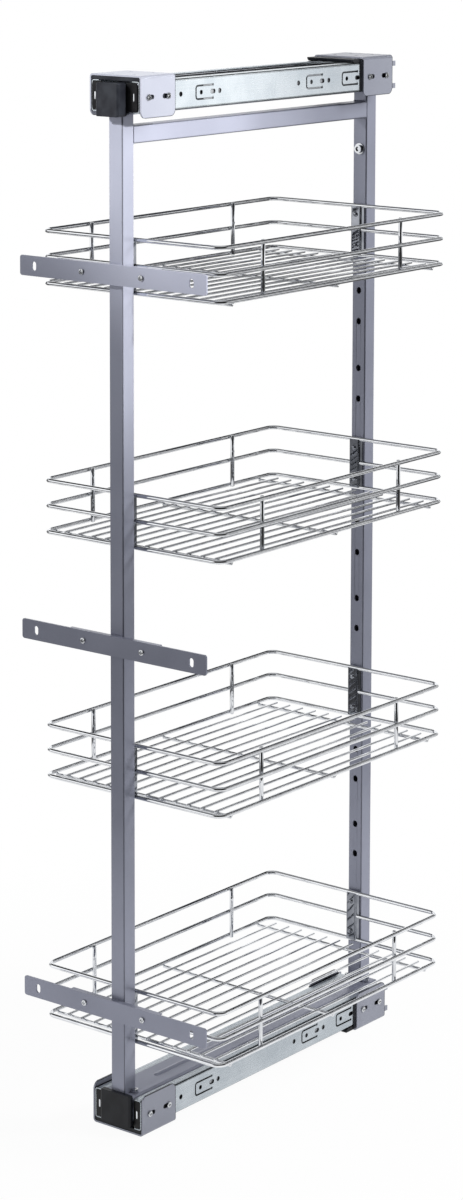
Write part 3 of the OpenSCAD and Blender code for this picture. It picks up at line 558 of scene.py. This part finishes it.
def turned(starts, along, stations, radii, sides):
    """Start plus station times axis, plus radius times a circle square to the axis."""
    starts, along = np.atleast_2d(starts).astype(float), np.atleast_2d(along).astype(float)
    side, other = cross_axes(along)
    angle = full_turn(sides)
    circle = np.cos(angle)[:, None] * side[:, None] + np.sin(angle)[:, None] * other[:, None]
    spine = starts[:, None] + stations[None, :, None] * along[:, None]
    return sheaf(spine[:, :, None] + radii[None, :, None, None] * circle[:, None])


def rods(starts, along, length, diameter, tip, sides=14):
    """Straight rods with domed tips: a quarter ellipse, a straight run and a quarter ellipse."""
    swing = quarter_turn(TIP_STEPS)
    rise, out = tip * (1 - np.cos(swing)), diameter / 2 * np.sin(swing)
    stations = np.concatenate([rise, length - rise[::-1]])
    return turned(starts, along, stations, np.concatenate([out, out[::-1]]), sides)


print("a rod has", len(rods([0, 0, 0], [0, 0, 1], 10, 2, 0.5)[1]), "faces")

# %% [markdown]
# A basket has three bent rails, four posts inside them, three cross wires underneath and a floor of thin
# wires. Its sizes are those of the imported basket, read from its box and from the two uprights that it hangs
# between. A rail is a torus cut in four and pulled apart: the corner arcs stay, and the gaps between them
# become the straight sides.

# %% Basket sizes
RAIL_D, CROSS_D, FLOOR_D = 5.0, 4.0, 3.0
WELD = 0.4
MID_RAIL, TOP_RAIL = 30.5, 60.0
RAIL_CORNER = 12.0
HANGER_GAP, HANGER_SHEET, HANGER_DEEP = 0.3, 1.5, 7.5
FLOOR_COUNT, FLOOR_PITCH = 12, 20.0
FLOOR_FRONT, FLOOR_REAR = 14.0, 13.0
CROSS_FRONT, CROSS_REAR = 20.0, 26.0
POST_FRONT, POST_REAR = 80.0, 86.0

half_width = corners("basket_1")[1][0] - RAIL_D / 2
hang_front = corners("front_upright")[1][1] + HANGER_GAP
hang_rear = corners("rear_upright")[0][1] - HANGER_GAP
rail_out = HANGER_DEEP - HANGER_SHEET - RAIL_D / 2 + WELD
rail_front, rail_rear = hang_front + rail_out, hang_rear - rail_out
cross_drop = RAIL_D / 2 + CROSS_D / 2 - WELD
floor_drop = cross_drop - CROSS_D / 2 - FLOOR_D / 2 + WELD
post_x = half_width - RAIL_D + WELD
rail_heights = np.array([0.0, MID_RAIL, TOP_RAIL])
cross_ys = np.array([rail_front + CROSS_FRONT, (rail_front + rail_rear) / 2, rail_rear - CROSS_REAR])
post_ys = np.array([rail_front + POST_FRONT, rail_rear - POST_REAR])
floor_xs = (np.arange(FLOOR_COUNT) - (FLOOR_COUNT - 1) / 2) * FLOOR_PITCH
print("rails", round(2 * half_width, 1), "wide and", round(rail_rear - rail_front, 1), "deep")

# %% Bent rails
BEND_STEPS, RAIL_SIDES = 9, 16


def bent_rails(heights):
    """Corner centre plus a ring: corner radius plus wire radius times cos, outwards, and sin, upwards."""
    quarter = quarter_turn(BEND_STEPS)
    bend = (np.arange(4)[:, None] * np.pi / 2 + quarter).reshape(-1)
    corner_x = np.repeat(np.array([1, -1, -1, 1]) * (half_width - RAIL_CORNER), len(quarter))
    corner_y = np.repeat([rail_rear - RAIL_CORNER] * 2 + [rail_front + RAIL_CORNER] * 2, len(quarter))
    turn_round = full_turn(RAIL_SIDES)
    out = RAIL_CORNER + RAIL_D / 2 * np.cos(turn_round)
    x = corner_x[:, None] + out * np.cos(bend)[:, None]
    y = corner_y[:, None] + out * np.sin(bend)[:, None]
    z = heights[:, None, None] + RAIL_D / 2 * np.sin(turn_round) + 0 * x
    grids = np.stack([np.broadcast_to(x, z.shape), np.broadcast_to(y, z.shape), z], axis=-1)
    return sheaf(grids, closed_rows=True)


print("three rails have", len(bent_rails(rail_heights)[1]), "faces")

# %% [markdown]
# The straight wires are rods. Wire is cut before it is plated, and the plating rounds the cut ends, so
# every rod has a slightly domed tip.

# %% Straight wires
POST_TIP, CROSS_TIP, FLOOR_TIP = 1.2, 0.6, 0.5
POST_SIDES, FLOOR_SIDES = 16, 12


def pairs(first, second):
    """Every place of the first list with every place of the second, as two flat lists."""
    one, two = np.meshgrid(first, second, indexing="ij")
    return one.reshape(-1), two.reshape(-1)


def straight_wires():
    """Posts upwards, cross wires to the right and floor wires to the rear, each from its near end."""
    x, y = pairs([-post_x, post_x], post_ys)
    posts = rods(np.column_stack([x, y, 0 * x - RAIL_D / 2]), np.tile([0, 0, 1], (len(x), 1)),
                 TOP_RAIL + RAIL_D, RAIL_D, POST_TIP, POST_SIDES)
    cross = rods(np.column_stack([0 * cross_ys - half_width, cross_ys, 0 * cross_ys - cross_drop]),
                 np.tile([1, 0, 0], (len(cross_ys), 1)), 2 * half_width, CROSS_D, CROSS_TIP)
    start = rail_front + FLOOR_FRONT
    floor = rods(np.column_stack([floor_xs, 0 * floor_xs + start, 0 * floor_xs - floor_drop]),
                 np.tile([0, 1, 0], (len(floor_xs), 1)), rail_rear - FLOOR_REAR - start, FLOOR_D, FLOOR_TIP,
                 FLOOR_SIDES)
    return gather(posts, cross, floor)


wires = gather(bent_rails(rail_heights), straight_wires())
print("the wires have", len(wires[1]), "faces")

# %% [markdown]
# Each weld where two wires touch leaves a small nugget of metal. It is an ellipsoid that lies flat along both
# wires and bridges the corner between them. The four baskets have over 200, so each has only a few faces.

# %% Welds
POST_NUGGET, FLOOR_NUGGET = (2.2, 2.2, 1.5), (1.6, 1.6, 1.1)
NUGGET_ROWS, NUGGET_SIDES = 6, 8


def nuggets(centres, first, second, long, wide, thick):
    """Ellipsoids: cos u times cos v along the first wire, cos u times sin v along the second, sin u across."""
    rise = np.linspace(-np.pi / 2, np.pi / 2, NUGGET_ROWS)[:, None]
    around = full_turn(NUGGET_SIDES)[None]
    first, second = np.array(first, float), np.array(second, float)
    across = np.cross(first, second)
    skin = (long * np.cos(rise) * np.cos(around))[..., None] * first
    skin = skin + (wide * np.cos(rise) * np.sin(around))[..., None] * second
    skin = skin + (thick * np.sin(rise) + 0 * around)[..., None] * across
    return sheaf(centres[:, None, None] + skin)


def basket_welds():
    """A nugget between each post and rail, each cross wire and rail, and each cross wire and floor wire."""
    x, y = pairs([-1, 1], post_ys)
    which, z = pairs(np.arange(len(x)), rail_heights)
    seam_x = half_width - RAIL_D / 2 + WELD / 2
    posts = nuggets(np.column_stack([x[which] * seam_x, y[which], z]), [0, 1, 0], [0, 0, 1], *POST_NUGGET)
    x, y = pairs(np.concatenate([[-half_width, half_width], floor_xs]), cross_ys)
    seam_z = -cross_drop + CROSS_D / 2 - WELD / 2
    floor = nuggets(np.column_stack([x, y, 0 * x + seam_z]), [1, 0, 0], [0, 1, 0], *FLOOR_NUGGET)
    return gather(posts, floor)


welds = basket_welds()
print("the welds have", len(welds[1]), "faces")

# %% [markdown]
# A basket hangs by two channels of bent sheet. The web lies over the rails and the open side faces the
# upright. Each channel is a U outline carried up its height, with the free edges drawn back in a quarter
# circle near both ends.

# %% Hanger channel
HANGER_W, HANGER_ROUND = 16.0, 4.0
BEND_OUT, BEND_IN = 3.0, 1.5
ROUND_STEPS = 6


def prism(stations):
    """An outline carried along stations: one row of points for each station, with both ends closed."""
    points, faces = sheaf(stations[None])
    count = stations.shape[1]
    last = len(points) - count
    return points, faces + [list(range(count)), list(range(last, last + count))]


def arc(centre_x, centre_y, radius, start, stop, steps=5):
    """Points on a circle from a start angle to a stop angle, in degrees."""
    angle = np.radians(np.linspace(start, stop, steps))
    return np.column_stack([centre_x + radius * np.cos(angle), centre_y + radius * np.sin(angle)])


def channel():
    """A U outline with its web at full depth; its free edges start later near both ends, by a quarter circle."""
    half, sheet, deep = HANGER_W / 2, HANGER_SHEET, HANGER_DEEP
    out_x, out_y = half - BEND_OUT, deep - BEND_OUT
    in_x, in_y = half - sheet - BEND_IN, deep - sheet - BEND_IN
    outer = [*arc(out_x, out_y, BEND_OUT, 0, 90), *arc(-out_x, out_y, BEND_OUT, 90, 180)]
    inner = [*arc(-in_x, in_y, BEND_IN, 180, 90), *arc(in_x, in_y, BEND_IN, 90, 0)]
    free = np.nan
    outline = np.array([[half, free], *outer, [-half, free], [sheet - half, free], *inner, [half - sheet, free]])
    swing = quarter_turn(ROUND_STEPS)
    rise, late = HANGER_ROUND * (1 - np.cos(swing)), HANGER_ROUND * (1 - np.sin(swing))
    heights = np.concatenate([rise, TOP_RAIL - rise[::-1]])
    starts = np.concatenate([late, late[::-1]])
    y = np.where(np.isnan(outline[:, 1]), starts[:, None], outline[:, 1])
    x = np.broadcast_to(outline[:, 0], y.shape)
    z = np.broadcast_to(heights[:, None], y.shape)
    return prism(np.stack([x, y, z], axis=-1))


print("a channel has", len(channel()[1]), "faces")

# %% [markdown]
# Two hooked studs reach from the web of each channel into the slots of the upright, and their riveted heads
# show as bright dots on its face. A hook is its side view carried across its width, and a head is a turned
# dome.

# %% Hooks and hangers
HOOK_FIRST, HOOK_PAIR = 10.0, 38.0
HOOK_W, HOOK_T, HOOK_DROP, HOOK_NOSE, HOOK_SHOULDER = 3.4, 3.2, 2.8, 1.5, 1.5
TUBE_WALL = 1.5
HEAD_R, HEAD_H, HEAD_SIDES = 3.25, 2.2, 20


def hook(height):
    """An arm and a nose in side view, with a round tip and a round shoulder, carried across its width."""
    back = -(2 * HANGER_GAP + TUBE_WALL)
    tip = back - HOOK_NOSE
    nose = arc((back + tip) / 2, HOOK_NOSE / 2 - HOOK_DROP, HOOK_NOSE / 2, 0, -180)
    shoulder = arc(tip + HOOK_SHOULDER, HOOK_T - HOOK_SHOULDER, HOOK_SHOULDER, 180, 90)
    root = HANGER_DEEP - HANGER_SHEET / 2
    outline = np.array([[root, 0], [back, 0], *nose, *shoulder, [root, HOOK_T]])
    across = np.array([-HOOK_W / 2, HOOK_W / 2])[:, None]
    y = np.broadcast_to(outline[:, 0], (2, len(outline)))
    z = np.broadcast_to(outline[:, 1] + height, (2, len(outline)))
    return prism(np.stack([across + 0 * y, y, z], axis=-1))


def stud_head(height):
    """A riveted head: a dome turned about the stud, on the face of the web."""
    swing = quarter_turn(ROUND_STEPS)
    seat = [0, HANGER_DEEP, height + HOOK_T / 2]
    return turned(seat, [0, 1, 0], HEAD_H * np.sin(swing), HEAD_R * np.cos(swing), HEAD_SIDES)


def hanger():
    """One channel with its hooks and stud heads, its free edges at zero depth."""
    heights = [HOOK_FIRST, HOOK_FIRST + HOOK_PAIR]
    return gather(channel(), *[hook(z) for z in heights], *[stud_head(z) for z in heights])


def moved(shape, offset, flip=(1, 1, 1)):
    """A shape turned over along some axes and carried by an offset."""
    return shape[0] * np.array(flip) + np.array(offset), shape[1]


hangers = gather(moved(hanger(), (0, hang_front, 0)), moved(hanger(), (0, hang_rear, 0), (1, -1, 1)))
print("two hangers have", len(hangers[1]), "faces")

# %% Four baskets
HANGER_EASE = 0.3
for number in range(1, 5):
    body = f"basket_{number}"
    base = corners(body)[0][2] + cross_drop + CROSS_D / 2
    make_piece(f"{body}_wires", moved(wires, (0, 0, base)), body, "basket_chrome", body)
    make_piece(f"{body}_welds", moved(welds, (0, 0, base)), body, "basket_chrome")
    channels = make_piece(f"{body}_hangers", moved(hangers, (0, 0, base)), body, "basket_chrome",
                          finish=hanger_plate)
    ease_edges(channels, HANGER_EASE)
    print(body, "at", round(base, 1), "mm")

# %% [markdown]
# The screws have pan heads with a cross recess. A head is a height over a disc: a low dome, less the
# recess, which is two crossed grooves that get shallower outwards. The rows of the grid run from the tip
# of the shank over the rim to the middle of the head, so one grid is the whole screw.

# %% Pan head screws
SCREW_HEAD_R, SCREW_HEAD_H, SHANK_R, SHANK_POINT = 3.5, 2.0, 2.0, 0.3
RIM_START, RIM_RISE, RIM_ROUND = 0.9, 0.7, 0.8
GROOVE_HALF, GROOVE_REACH, GROOVE_DEEP, GROOVE_WALL, GROOVE_RAMP = 0.6, 2.4, 1.4, 0.25, 0.8
SCREW_SIDES, DOME_STEPS = 40, 14


def pan_heads(seats, along, shank):
    """Radius and height by row and angle: shank, rim and dome, the dome lowered by the crossed grooves."""
    side, other = cross_axes(along)
    angle = full_turn(SCREW_SIDES)[None]
    swing = quarter_turn(ROUND_STEPS)
    rim_r = SCREW_HEAD_R - RIM_ROUND * (1 - np.cos(swing))
    rim_h = RIM_START + RIM_RISE * np.sin(swing)
    dome_r = np.linspace(rim_r[-1], 0, DOME_STEPS)[1:]
    dome_h = SCREW_HEAD_H - (SCREW_HEAD_H - rim_h[-1]) * (dome_r / rim_r[-1]) ** 2
    radius = np.concatenate([[0, SHANK_R - SHANK_POINT, SHANK_R, SHANK_R, SCREW_HEAD_R], rim_r, dome_r])[:, None]
    height = np.concatenate([[-shank, -shank, SHANK_POINT - shank, 0, 0], rim_h, dome_h])[:, None]
    on_dome = (np.arange(len(radius)) >= len(radius) - len(dome_r))[:, None]
    x, y = radius * np.cos(angle), radius * np.sin(angle)
    groove = np.clip((GROOVE_HALF - np.minimum(np.abs(x), np.abs(y))) / GROOVE_WALL + 0.5, 0, 1)
    fade = np.clip((GROOVE_REACH - radius) / GROOVE_RAMP, 0, 1)
    height = height - on_dome * GROOVE_DEEP * groove * fade
    grids = x[None, ..., None] * side[:, None, None] + y[None, ..., None] * other[:, None, None]
    grids = grids + height[None, ..., None] * along[:, None, None] + seats[:, None, None]
    return sheaf(grids)


print("a screw has", len(pan_heads(np.zeros((1, 3)), np.eye(3)[2:], 4.0)[1]), "faces")

# %% [markdown]
# Two slide screws sit in each cheek of each saddle, at the middle height of the slides, and two more hold
# each door plate. Their seats are read from the boxes of the nodes that they hold.

# %% Screw sets
HANDS = -1, 1
CHEEK_SCREW, CHEEK_PITCH, SLIDE_SHANK = 12.5, 34.0, 4.3
PLATE_SCREW_X, PLATE_SHANK = 43.0, 3.5


def rail_middle(level_name):
    """The middle height of the slides at the floor or at the ceiling."""
    return np.mean([corner[2] for corner in corners(f"outer_rail_{level_name}_right")])


slide_seats = []
for level_name in LEVELS:
    for end in ENDS:
        low, high = corners(f"saddle_{level_name}_{end}")
        slide_seats += [(hand * high[0], low[1] + CHEEK_SCREW + k * CHEEK_PITCH, rail_middle(level_name))
                        for hand in HANDS for k in (0, 1)]
slide_seats = np.array(slide_seats)
slide_along = np.column_stack([np.sign(slide_seats[:, 0]), 0 * slide_seats[:, 1:]])
make_piece("slide_screw_set", pan_heads(slide_seats, slide_along, SLIDE_SHANK), "cabinet_rails", "fastener_zinc",
           "slide_screws")

plate_seats = []
for plate in ("bottom", "middle", "top"):
    low, high = corners(f"door_plate_{plate}")
    plate_seats += [(hand * PLATE_SCREW_X, low[1], (low[2] + high[2]) / 2) for hand in HANDS]
plate_seats = np.array(plate_seats)
plate_along = np.tile([0.0, -1.0, 0.0], (len(plate_seats), 1))
make_piece("plate_screw_set", pan_heads(plate_seats, plate_along, PLATE_SHANK), "frame", "fastener_zinc",
           "plate_screws")
print(len(slide_seats), "slide screws and", len(plate_seats), "plate screws")

# %% [markdown]
# A black bumper closes the front of each slide and moves with its inner member. It is a thick sheet with
# round edges: a superellipse drawn smaller and smaller over its rim. A bright steel tongue shows in it. At
# the top, where the cap is narrow, the bumper also covers the end of the beam.

# %% Slide bumpers
BUMPER_OUT, BUMPER_HALF, BUMPER_THICK, BUMPER_GAP = 32.5, 15.9, 1.4, 0.2
BUMPER_IN = {"bottom": 22.9, "top": 16.9}
BUMPER_COVERS = {"bottom": "outer_rail_bottom_right", "top": "top_beam"}
BUMPER_EDGE, BUMPER_POWER = 0.4, 9
TONGUE_X, TONGUE_W, TONGUE_H, TONGUE_PROUD, TONGUE_SUNK = 27.7, 2.2, 9.0, 0.3, 0.5
TONGUE_EDGE, TONGUE_POWER = 0.3, 6
BLOCK_SIDES, BLOCK_STEPS = 48, 4


def rounded_block(low, high, edge, power):
    """Sides by angle: half size times cos and sin to the power 2 / n, shrunk by a quarter circle at both ends."""
    middle, half = (np.array(low) + np.array(high)) / 2, (np.array(high) - np.array(low)) / 2
    swing = quarter_turn(BLOCK_STEPS)
    back, inset = edge * (1 - np.cos(swing)), edge * (1 - np.sin(swing))
    depth = np.concatenate([back - half[1], half[1] - back[::-1]])[:, None]
    inset = np.concatenate([inset, inset[::-1]])[:, None]
    angle = full_turn(BLOCK_SIDES)[None]
    bow_x = np.sign(np.cos(angle)) * np.abs(np.cos(angle)) ** (2 / power)
    bow_z = np.sign(np.sin(angle)) * np.abs(np.sin(angle)) ** (2 / power)
    x, z = (half[0] - inset) * bow_x, (half[2] - inset) * bow_z
    return prism(np.stack([x, depth + 0 * x, z], axis=-1) + middle)


def both_hands(shape, lift=0):
    """A shape carried up by a lift, on its own side and mirrored to the other."""
    return [moved(shape, (0, 0, lift), (hand, 1, 1)) for hand in HANDS]


bumpers, tongues = [], []
for level_name in LEVELS:
    middle = rail_middle(level_name)
    rear = corners(BUMPER_COVERS[level_name])[0][1] - BUMPER_GAP
    front = rear - BUMPER_THICK
    bumper = rounded_block((BUMPER_IN[level_name], front, middle - BUMPER_HALF),
                           (BUMPER_OUT, rear, middle + BUMPER_HALF), BUMPER_EDGE, BUMPER_POWER)
    tongue = rounded_block((TONGUE_X - TONGUE_W / 2, front - TONGUE_PROUD, middle - TONGUE_H / 2),
                           (TONGUE_X + TONGUE_W / 2, rear - TONGUE_SUNK, middle + TONGUE_H / 2),
                           TONGUE_EDGE, TONGUE_POWER)
    bumpers += both_hands(bumper)
    tongues += both_hands(tongue)
    print(level_name, "bumpers from", round(front, 1), "to", round(rear, 1), "mm")
# The bumpers wear the deeper black of painted shade.
make_piece("slide_bumpers", gather(*bumpers), "frame", "black_plastic", finish=bumper_shade_black)
make_piece("bumper_tongues", gather(*tongues), "frame", "basket_chrome")

# %% [markdown]
# The trays in the front saddles end flush with the sheet, so that the bright edge of the saddle shows. A
# tray is a U outline carried back, with thin walls beside the slides and a thick floor on the base of the
# saddle. In it the mouth of each outer member shows as a bright C, which is an outline carried back as well.

# %% Tray and mouth outlines
TRAY_WALL, TRAY_BEND = 1.0, 2.0
MOUTH_SHEET, MOUTH_BEND, MOUTH_IN = 1.0, 2.5, 24.0


def carried_back(outline, front, rear):
    """An outline in x and z, repeated at a front and a rear station and closed at both ends."""
    y = np.array([front, rear])[:, None] + 0 * outline[:, 0]
    x, z = outline[:, 0] + 0 * y, outline[:, 1] + 0 * y
    return prism(np.stack([x, y, z], axis=-1))


def tray_outline(half, deep, floor):
    """A U that stands on zero: round outside corners, walls of one thickness, and a floor inside."""
    bend, slot = half - TRAY_BEND, half - TRAY_WALL
    return np.array([[half, deep], *arc(bend, TRAY_BEND, TRAY_BEND, 0, -90),
                     *arc(-bend, TRAY_BEND, TRAY_BEND, -90, -180), [-half, deep],
                     [-slot, deep], [-slot, floor], [slot, floor], [slot, deep]])


def mouth_outline(out, half):
    """A C with two round corners: the outside from bottom to top, and the inside back again."""
    x, z, inner = out - MOUTH_BEND, half - MOUTH_BEND, MOUTH_BEND - MOUTH_SHEET
    return np.array([[MOUTH_IN, -half], *arc(x, -z, MOUTH_BEND, -90, 0), *arc(x, z, MOUTH_BEND, 0, 90),
                     [MOUTH_IN, half], [MOUTH_IN, half - MOUTH_SHEET], *arc(x, z, inner, 90, 0),
                     *arc(x, -z, inner, 0, -90), [MOUTH_IN, MOUTH_SHEET - half]])


print("a mouth has", len(mouth_outline(out=34.0, half=17.0)), "points in its outline")

# %% Front trays and slide mouths
TRAY_BACK, TRAY_EASE = 0.6, 0.4
MOUTH_BACK, MOUTH_GAP, MOUTH_EASE = 0.1, 0.05, 0.2
mouths = []
for level_name in LEVELS:
    low, high = corners(f"liner_{level_name}_front")
    rail_low, rail_high = corners(f"outer_rail_{level_name}_right")
    front = corners(f"saddle_{level_name}_front")[0][1]
    upside_down = level_name == "top"
    base, rise = (high[2], -1) if upside_down else (low[2], 1)
    floor_thick = high[2] - rail_high[2] if upside_down else rail_low[2] - low[2]
    tray = carried_back(tray_outline(high[0], high[2] - low[2], floor_thick), front + TRAY_BACK, high[1])
    front_tray = make_piece(f"{level_name}_front_tray", moved(tray, (0, 0, base), (1, 1, rise)), "cabinet_rails",
                            "black_plastic", f"liner_{level_name}_front")
    front_tray.data.shade_flat()
    ease_edges(front_tray, TRAY_EASE)
    half = (rail_high[2] - rail_low[2]) / 2
    mouth = carried_back(mouth_outline(rail_high[0] - MOUTH_GAP, half - MOUTH_GAP), front + MOUTH_BACK, rail_low[1])
    mouths += both_hands(mouth, (rail_low[2] + rail_high[2]) / 2)
    print(level_name, "tray", round(high[1] - front - TRAY_BACK, 1), "mm long")
slide_mouths = make_piece("slide_mouths", gather(*mouths), "cabinet_rails", "zinc_rail")
slide_mouths.data.shade_flat()
ease_edges(slide_mouths, MOUTH_EASE)

# %% [markdown]
# The cross rail is welded to both uprights. A weld bead is a row of drops that froze one after the other, so
# it is made as a row of overlapping nuggets along the seam, over and under the rail, and painted with the
# frame.

# %% Weld beads
DROPS, BEAD_INSET, BEAD_DROP = 11, 2.0, (1.5, 2.2, 1.1)
rail_low, rail_high = corners("cross_rail")
drop_x = np.linspace(rail_low[0] + BEAD_INSET, rail_high[0] - BEAD_INSET, DROPS)
which, drop_xs = pairs(np.arange(4), drop_x)
seam_y = np.array([rail_low[1], rail_high[1]])[which % 2]
seam_z = np.array([rail_low[2], rail_high[2]])[which // 2]
beads = nuggets(np.column_stack([drop_xs, seam_y, seam_z]), [1, 0, 0], [0, 1, 0], *BEAD_DROP)
make_piece("cross_rail_beads", beads, "frame", "frame_paint")
print(len(drop_xs), "drops in four beads")

# %% [markdown]
# The floor is a disc of white paper. For the camera, and in reflections, most of its light is a plain white
# glow, which takes over fully further out, so that the disc runs into the white room without an edge. The
# rest is lit like paper, and that part carries the shadow of the frame.

# %% Floor
FLOOR_R, FLOOR_RINGS, FLOOR_SPOKES, RING_SPREAD = 1.2, 12, 64, 1.5
rings = np.linspace(0, 1, FLOOR_RINGS)[:, None] ** RING_SPREAD * FLOOR_R / MM
spokes = full_turn(FLOOR_SPOKES)[None]
disc = np.stack([rings * np.cos(spokes), rings * np.sin(spokes), 0 * rings * spokes], axis=-1)
floor_points, floor_faces = sheaf(disc[None])
floor_mesh = bpy.data.meshes.new("floor")
floor_mesh.from_pydata((floor_points * MM).tolist(), [], floor_faces)
floor = bpy.data.objects.new("floor", floor_mesh)
bpy.context.scene.collection.objects.link(floor)
print("floor", 2 * FLOOR_R, "m across")


# %% White paper
def seen_rays(tree):
    """One for rays from the camera, in reflections and through glass, and the reflected ones alone."""
    path = tree.nodes.new("ShaderNodeLightPath")
    rays = [Value(tree, path.outputs[name]) for name in
            ("Is Camera Ray", "Is Glossy Ray", "Is Transmission Ray")]
    return rays[0].largest(rays[1]).largest(rays[2]), rays[1]


PAPER, GLOW, GLOW_FROM, GLOW_FULL = 0.86, 0.95, 0.3, 0.9
paper = bpy.data.materials.new("white_paper")
paper.use_nodes = True
paper_tree = paper.node_tree
paper_tree.nodes.clear()
seen, _ = seen_rays(paper_tree)
spot = Value(paper_tree, paper_tree.nodes.new("ShaderNodeTexCoord").outputs["Object"])
away = spot.node("ShaderNodeVectorMath", {"operation": "LENGTH"}, {0: spot}, out=1)
glow = GLOW + away.smooth(GLOW_FROM, GLOW_FULL) * (1 - GLOW)
white = spot.node("ShaderNodeEmission", {}, {"Color": (1, 1, 1, 1), "Strength": 1.0})
lit = spot.node("ShaderNodeBsdfDiffuse", {}, {"Color": (PAPER, PAPER, PAPER, 1)})
surface = spot.node("ShaderNodeMixShader", {}, {0: seen * glow, 1: lit, 2: white})
paper_out = paper_tree.nodes.new("ShaderNodeOutputMaterial")
paper_tree.links.new(surface.socket, paper_out.inputs["Surface"])
floor_mesh.materials.append(paper)
print("paper with a glow of", GLOW, "under the frame")

# %% [markdown]
# The room is white to the camera. Bright metal needs something dark to reflect as well, or it looks like
# plaster, so the room that reflections see is a dim studio, darkest behind the camera. White cards hang in
# it: one to the right and behind, which the right-hand faces mirror, a taller one to the left and in front,
# for the faces towards the door, and one at the back for level faces.

# %% White cards
room = bpy.data.worlds.new("room")
room.use_nodes = True
bpy.context.scene.world = room
room_tree = room.node_tree
room_seen, room_glossy = seen_rays(room_tree)
aim = Value(room_tree, room_tree.nodes.new("ShaderNodeTexCoord").outputs["Generated"])
aim_x, aim_y, aim_z = spots(aim)
to_right_card = aim_x * float(np.sin(turn)) + aim_y * float(np.cos(turn))
to_camera = aim_x * float(np.sin(turn)) - aim_y * float(np.cos(turn))
CARD_FOOT = -0.24, -0.08
above_foot = aim_z.smooth(*CARD_FOOT)


def card(towards, side_edge, top_edge):
    """One where a ray looks at a card: inside its side edge, under its top edge and above its foot."""
    return towards.smooth(*side_edge) * (1 - aim_z.smooth(*top_edge)) * above_foot


right_card = card(to_right_card, side_edge=(0.74, 0.94), top_edge=(0.00, 0.16))
left_card = card(0 - to_right_card, side_edge=(0.70, 0.94), top_edge=(0.45, 0.75))
rear_card = card(0 - to_camera, side_edge=(0.60, 0.90), top_edge=(0.20, 0.60))
cards = right_card.largest(left_card).largest(rear_card)
print("three cards, made with", len(room_tree.nodes), "nodes")

# %% [markdown]
# The feet of the cards hang just below eye level, so that the frame grows darker from the top down. The
# ceiling gives a little light, and a ring of light under it, open towards the camera, draws one bright line
# along every wire.

# %% Dim studio
RING_LOW, RING_HIGH, RING_OPEN, RING_LIGHT = (0.38, 0.42), (0.46, 0.50), (0.2, 0.6), 1.2
CEILING, CEILING_LIGHT = (0.70, 0.92), 0.45
DIM_LOW, DIM_HIGH, DIM_RISE, DIM_BEHIND = 0.14, 0.03, (-0.1, 0.15), (0.3, 0.7)
CARD_LIGHT, AMBIENT = 1.2, 0.4
ring = aim_z.smooth(*RING_LOW) * (1 - aim_z.smooth(*RING_HIGH)) * (1 - to_camera.smooth(*RING_OPEN)) * RING_LIGHT
ceiling = aim_z.smooth(*CEILING) * CEILING_LIGHT
dim = DIM_LOW - aim_z.smooth(*DIM_RISE).largest(to_camera.smooth(*DIM_BEHIND)) * (DIM_LOW - DIM_HIGH)
mirrored = dim + cards.largest(ceiling).largest(ring) * CARD_LIGHT
strength = room_seen * (1 - room_glossy) + room_glossy * mirrored + (1 - room_seen) * AMBIENT
back = room_tree.nodes["Background"]
back.inputs["Color"].default_value = (1, 1, 1, 1)
room_tree.links.new(strength.socket, back.inputs["Strength"])
print("room with an ambient level of", AMBIENT)

# %% [markdown]
# Lamps do the rest: a broad key from the right, a weak fill from the left, and two warm spotlights that shine
# on the top third of the frame only, so the steel is brightest there.


# %% Lamps
def hang_lamp(name, kind, place, aim_at, power, **settings):
    """A lamp at a place in metres, turned to face a point."""
    light = bpy.data.lights.new(name, kind)
    light.energy = power
    for setting, number in settings.items():
        setattr(light, setting, number)
    lamp = bpy.data.objects.new(name, light)
    bpy.context.scene.collection.objects.link(lamp)
    line = np.array(aim_at) - np.array(place)
    line = line / np.linalg.norm(line)
    side = np.cross(line, [0, 0, 1])
    side = side / np.linalg.norm(side)
    lamp.matrix_world = Matrix(np.vstack([np.column_stack([side, np.cross(side, line), -line, place]),
                                          [0, 0, 0, 1]]).tolist())
    lamp.visible_glossy = False
    return lamp


WARM = (1.0, 0.985, 0.94)
hang_lamp("key", "AREA", place=(1.9, 1.3, 2.2), aim_at=(0, 0.2, 1.2), power=80, size=0.9)
hang_lamp("fill", "AREA", place=(-2.2, -2.0, 1.6), aim_at=(0, 0, 0.6), power=14, size=1.4)
hang_lamp("top_door", "SPOT", place=(-1.5, -2.2, 2.4), aim_at=(0.08, -0.25, 1.28), power=1120,
          spot_size=math.radians(12), spot_blend=0.12, shadow_soft_size=0.08, color=WARM)
hang_lamp("top_right", "SPOT", place=(2.7, -0.1, 2.2), aim_at=(0, -0.28, 1.14), power=1120,
          spot_size=math.radians(14), spot_blend=0.4, shadow_soft_size=0.1, color=WARM)
print("four lamps")
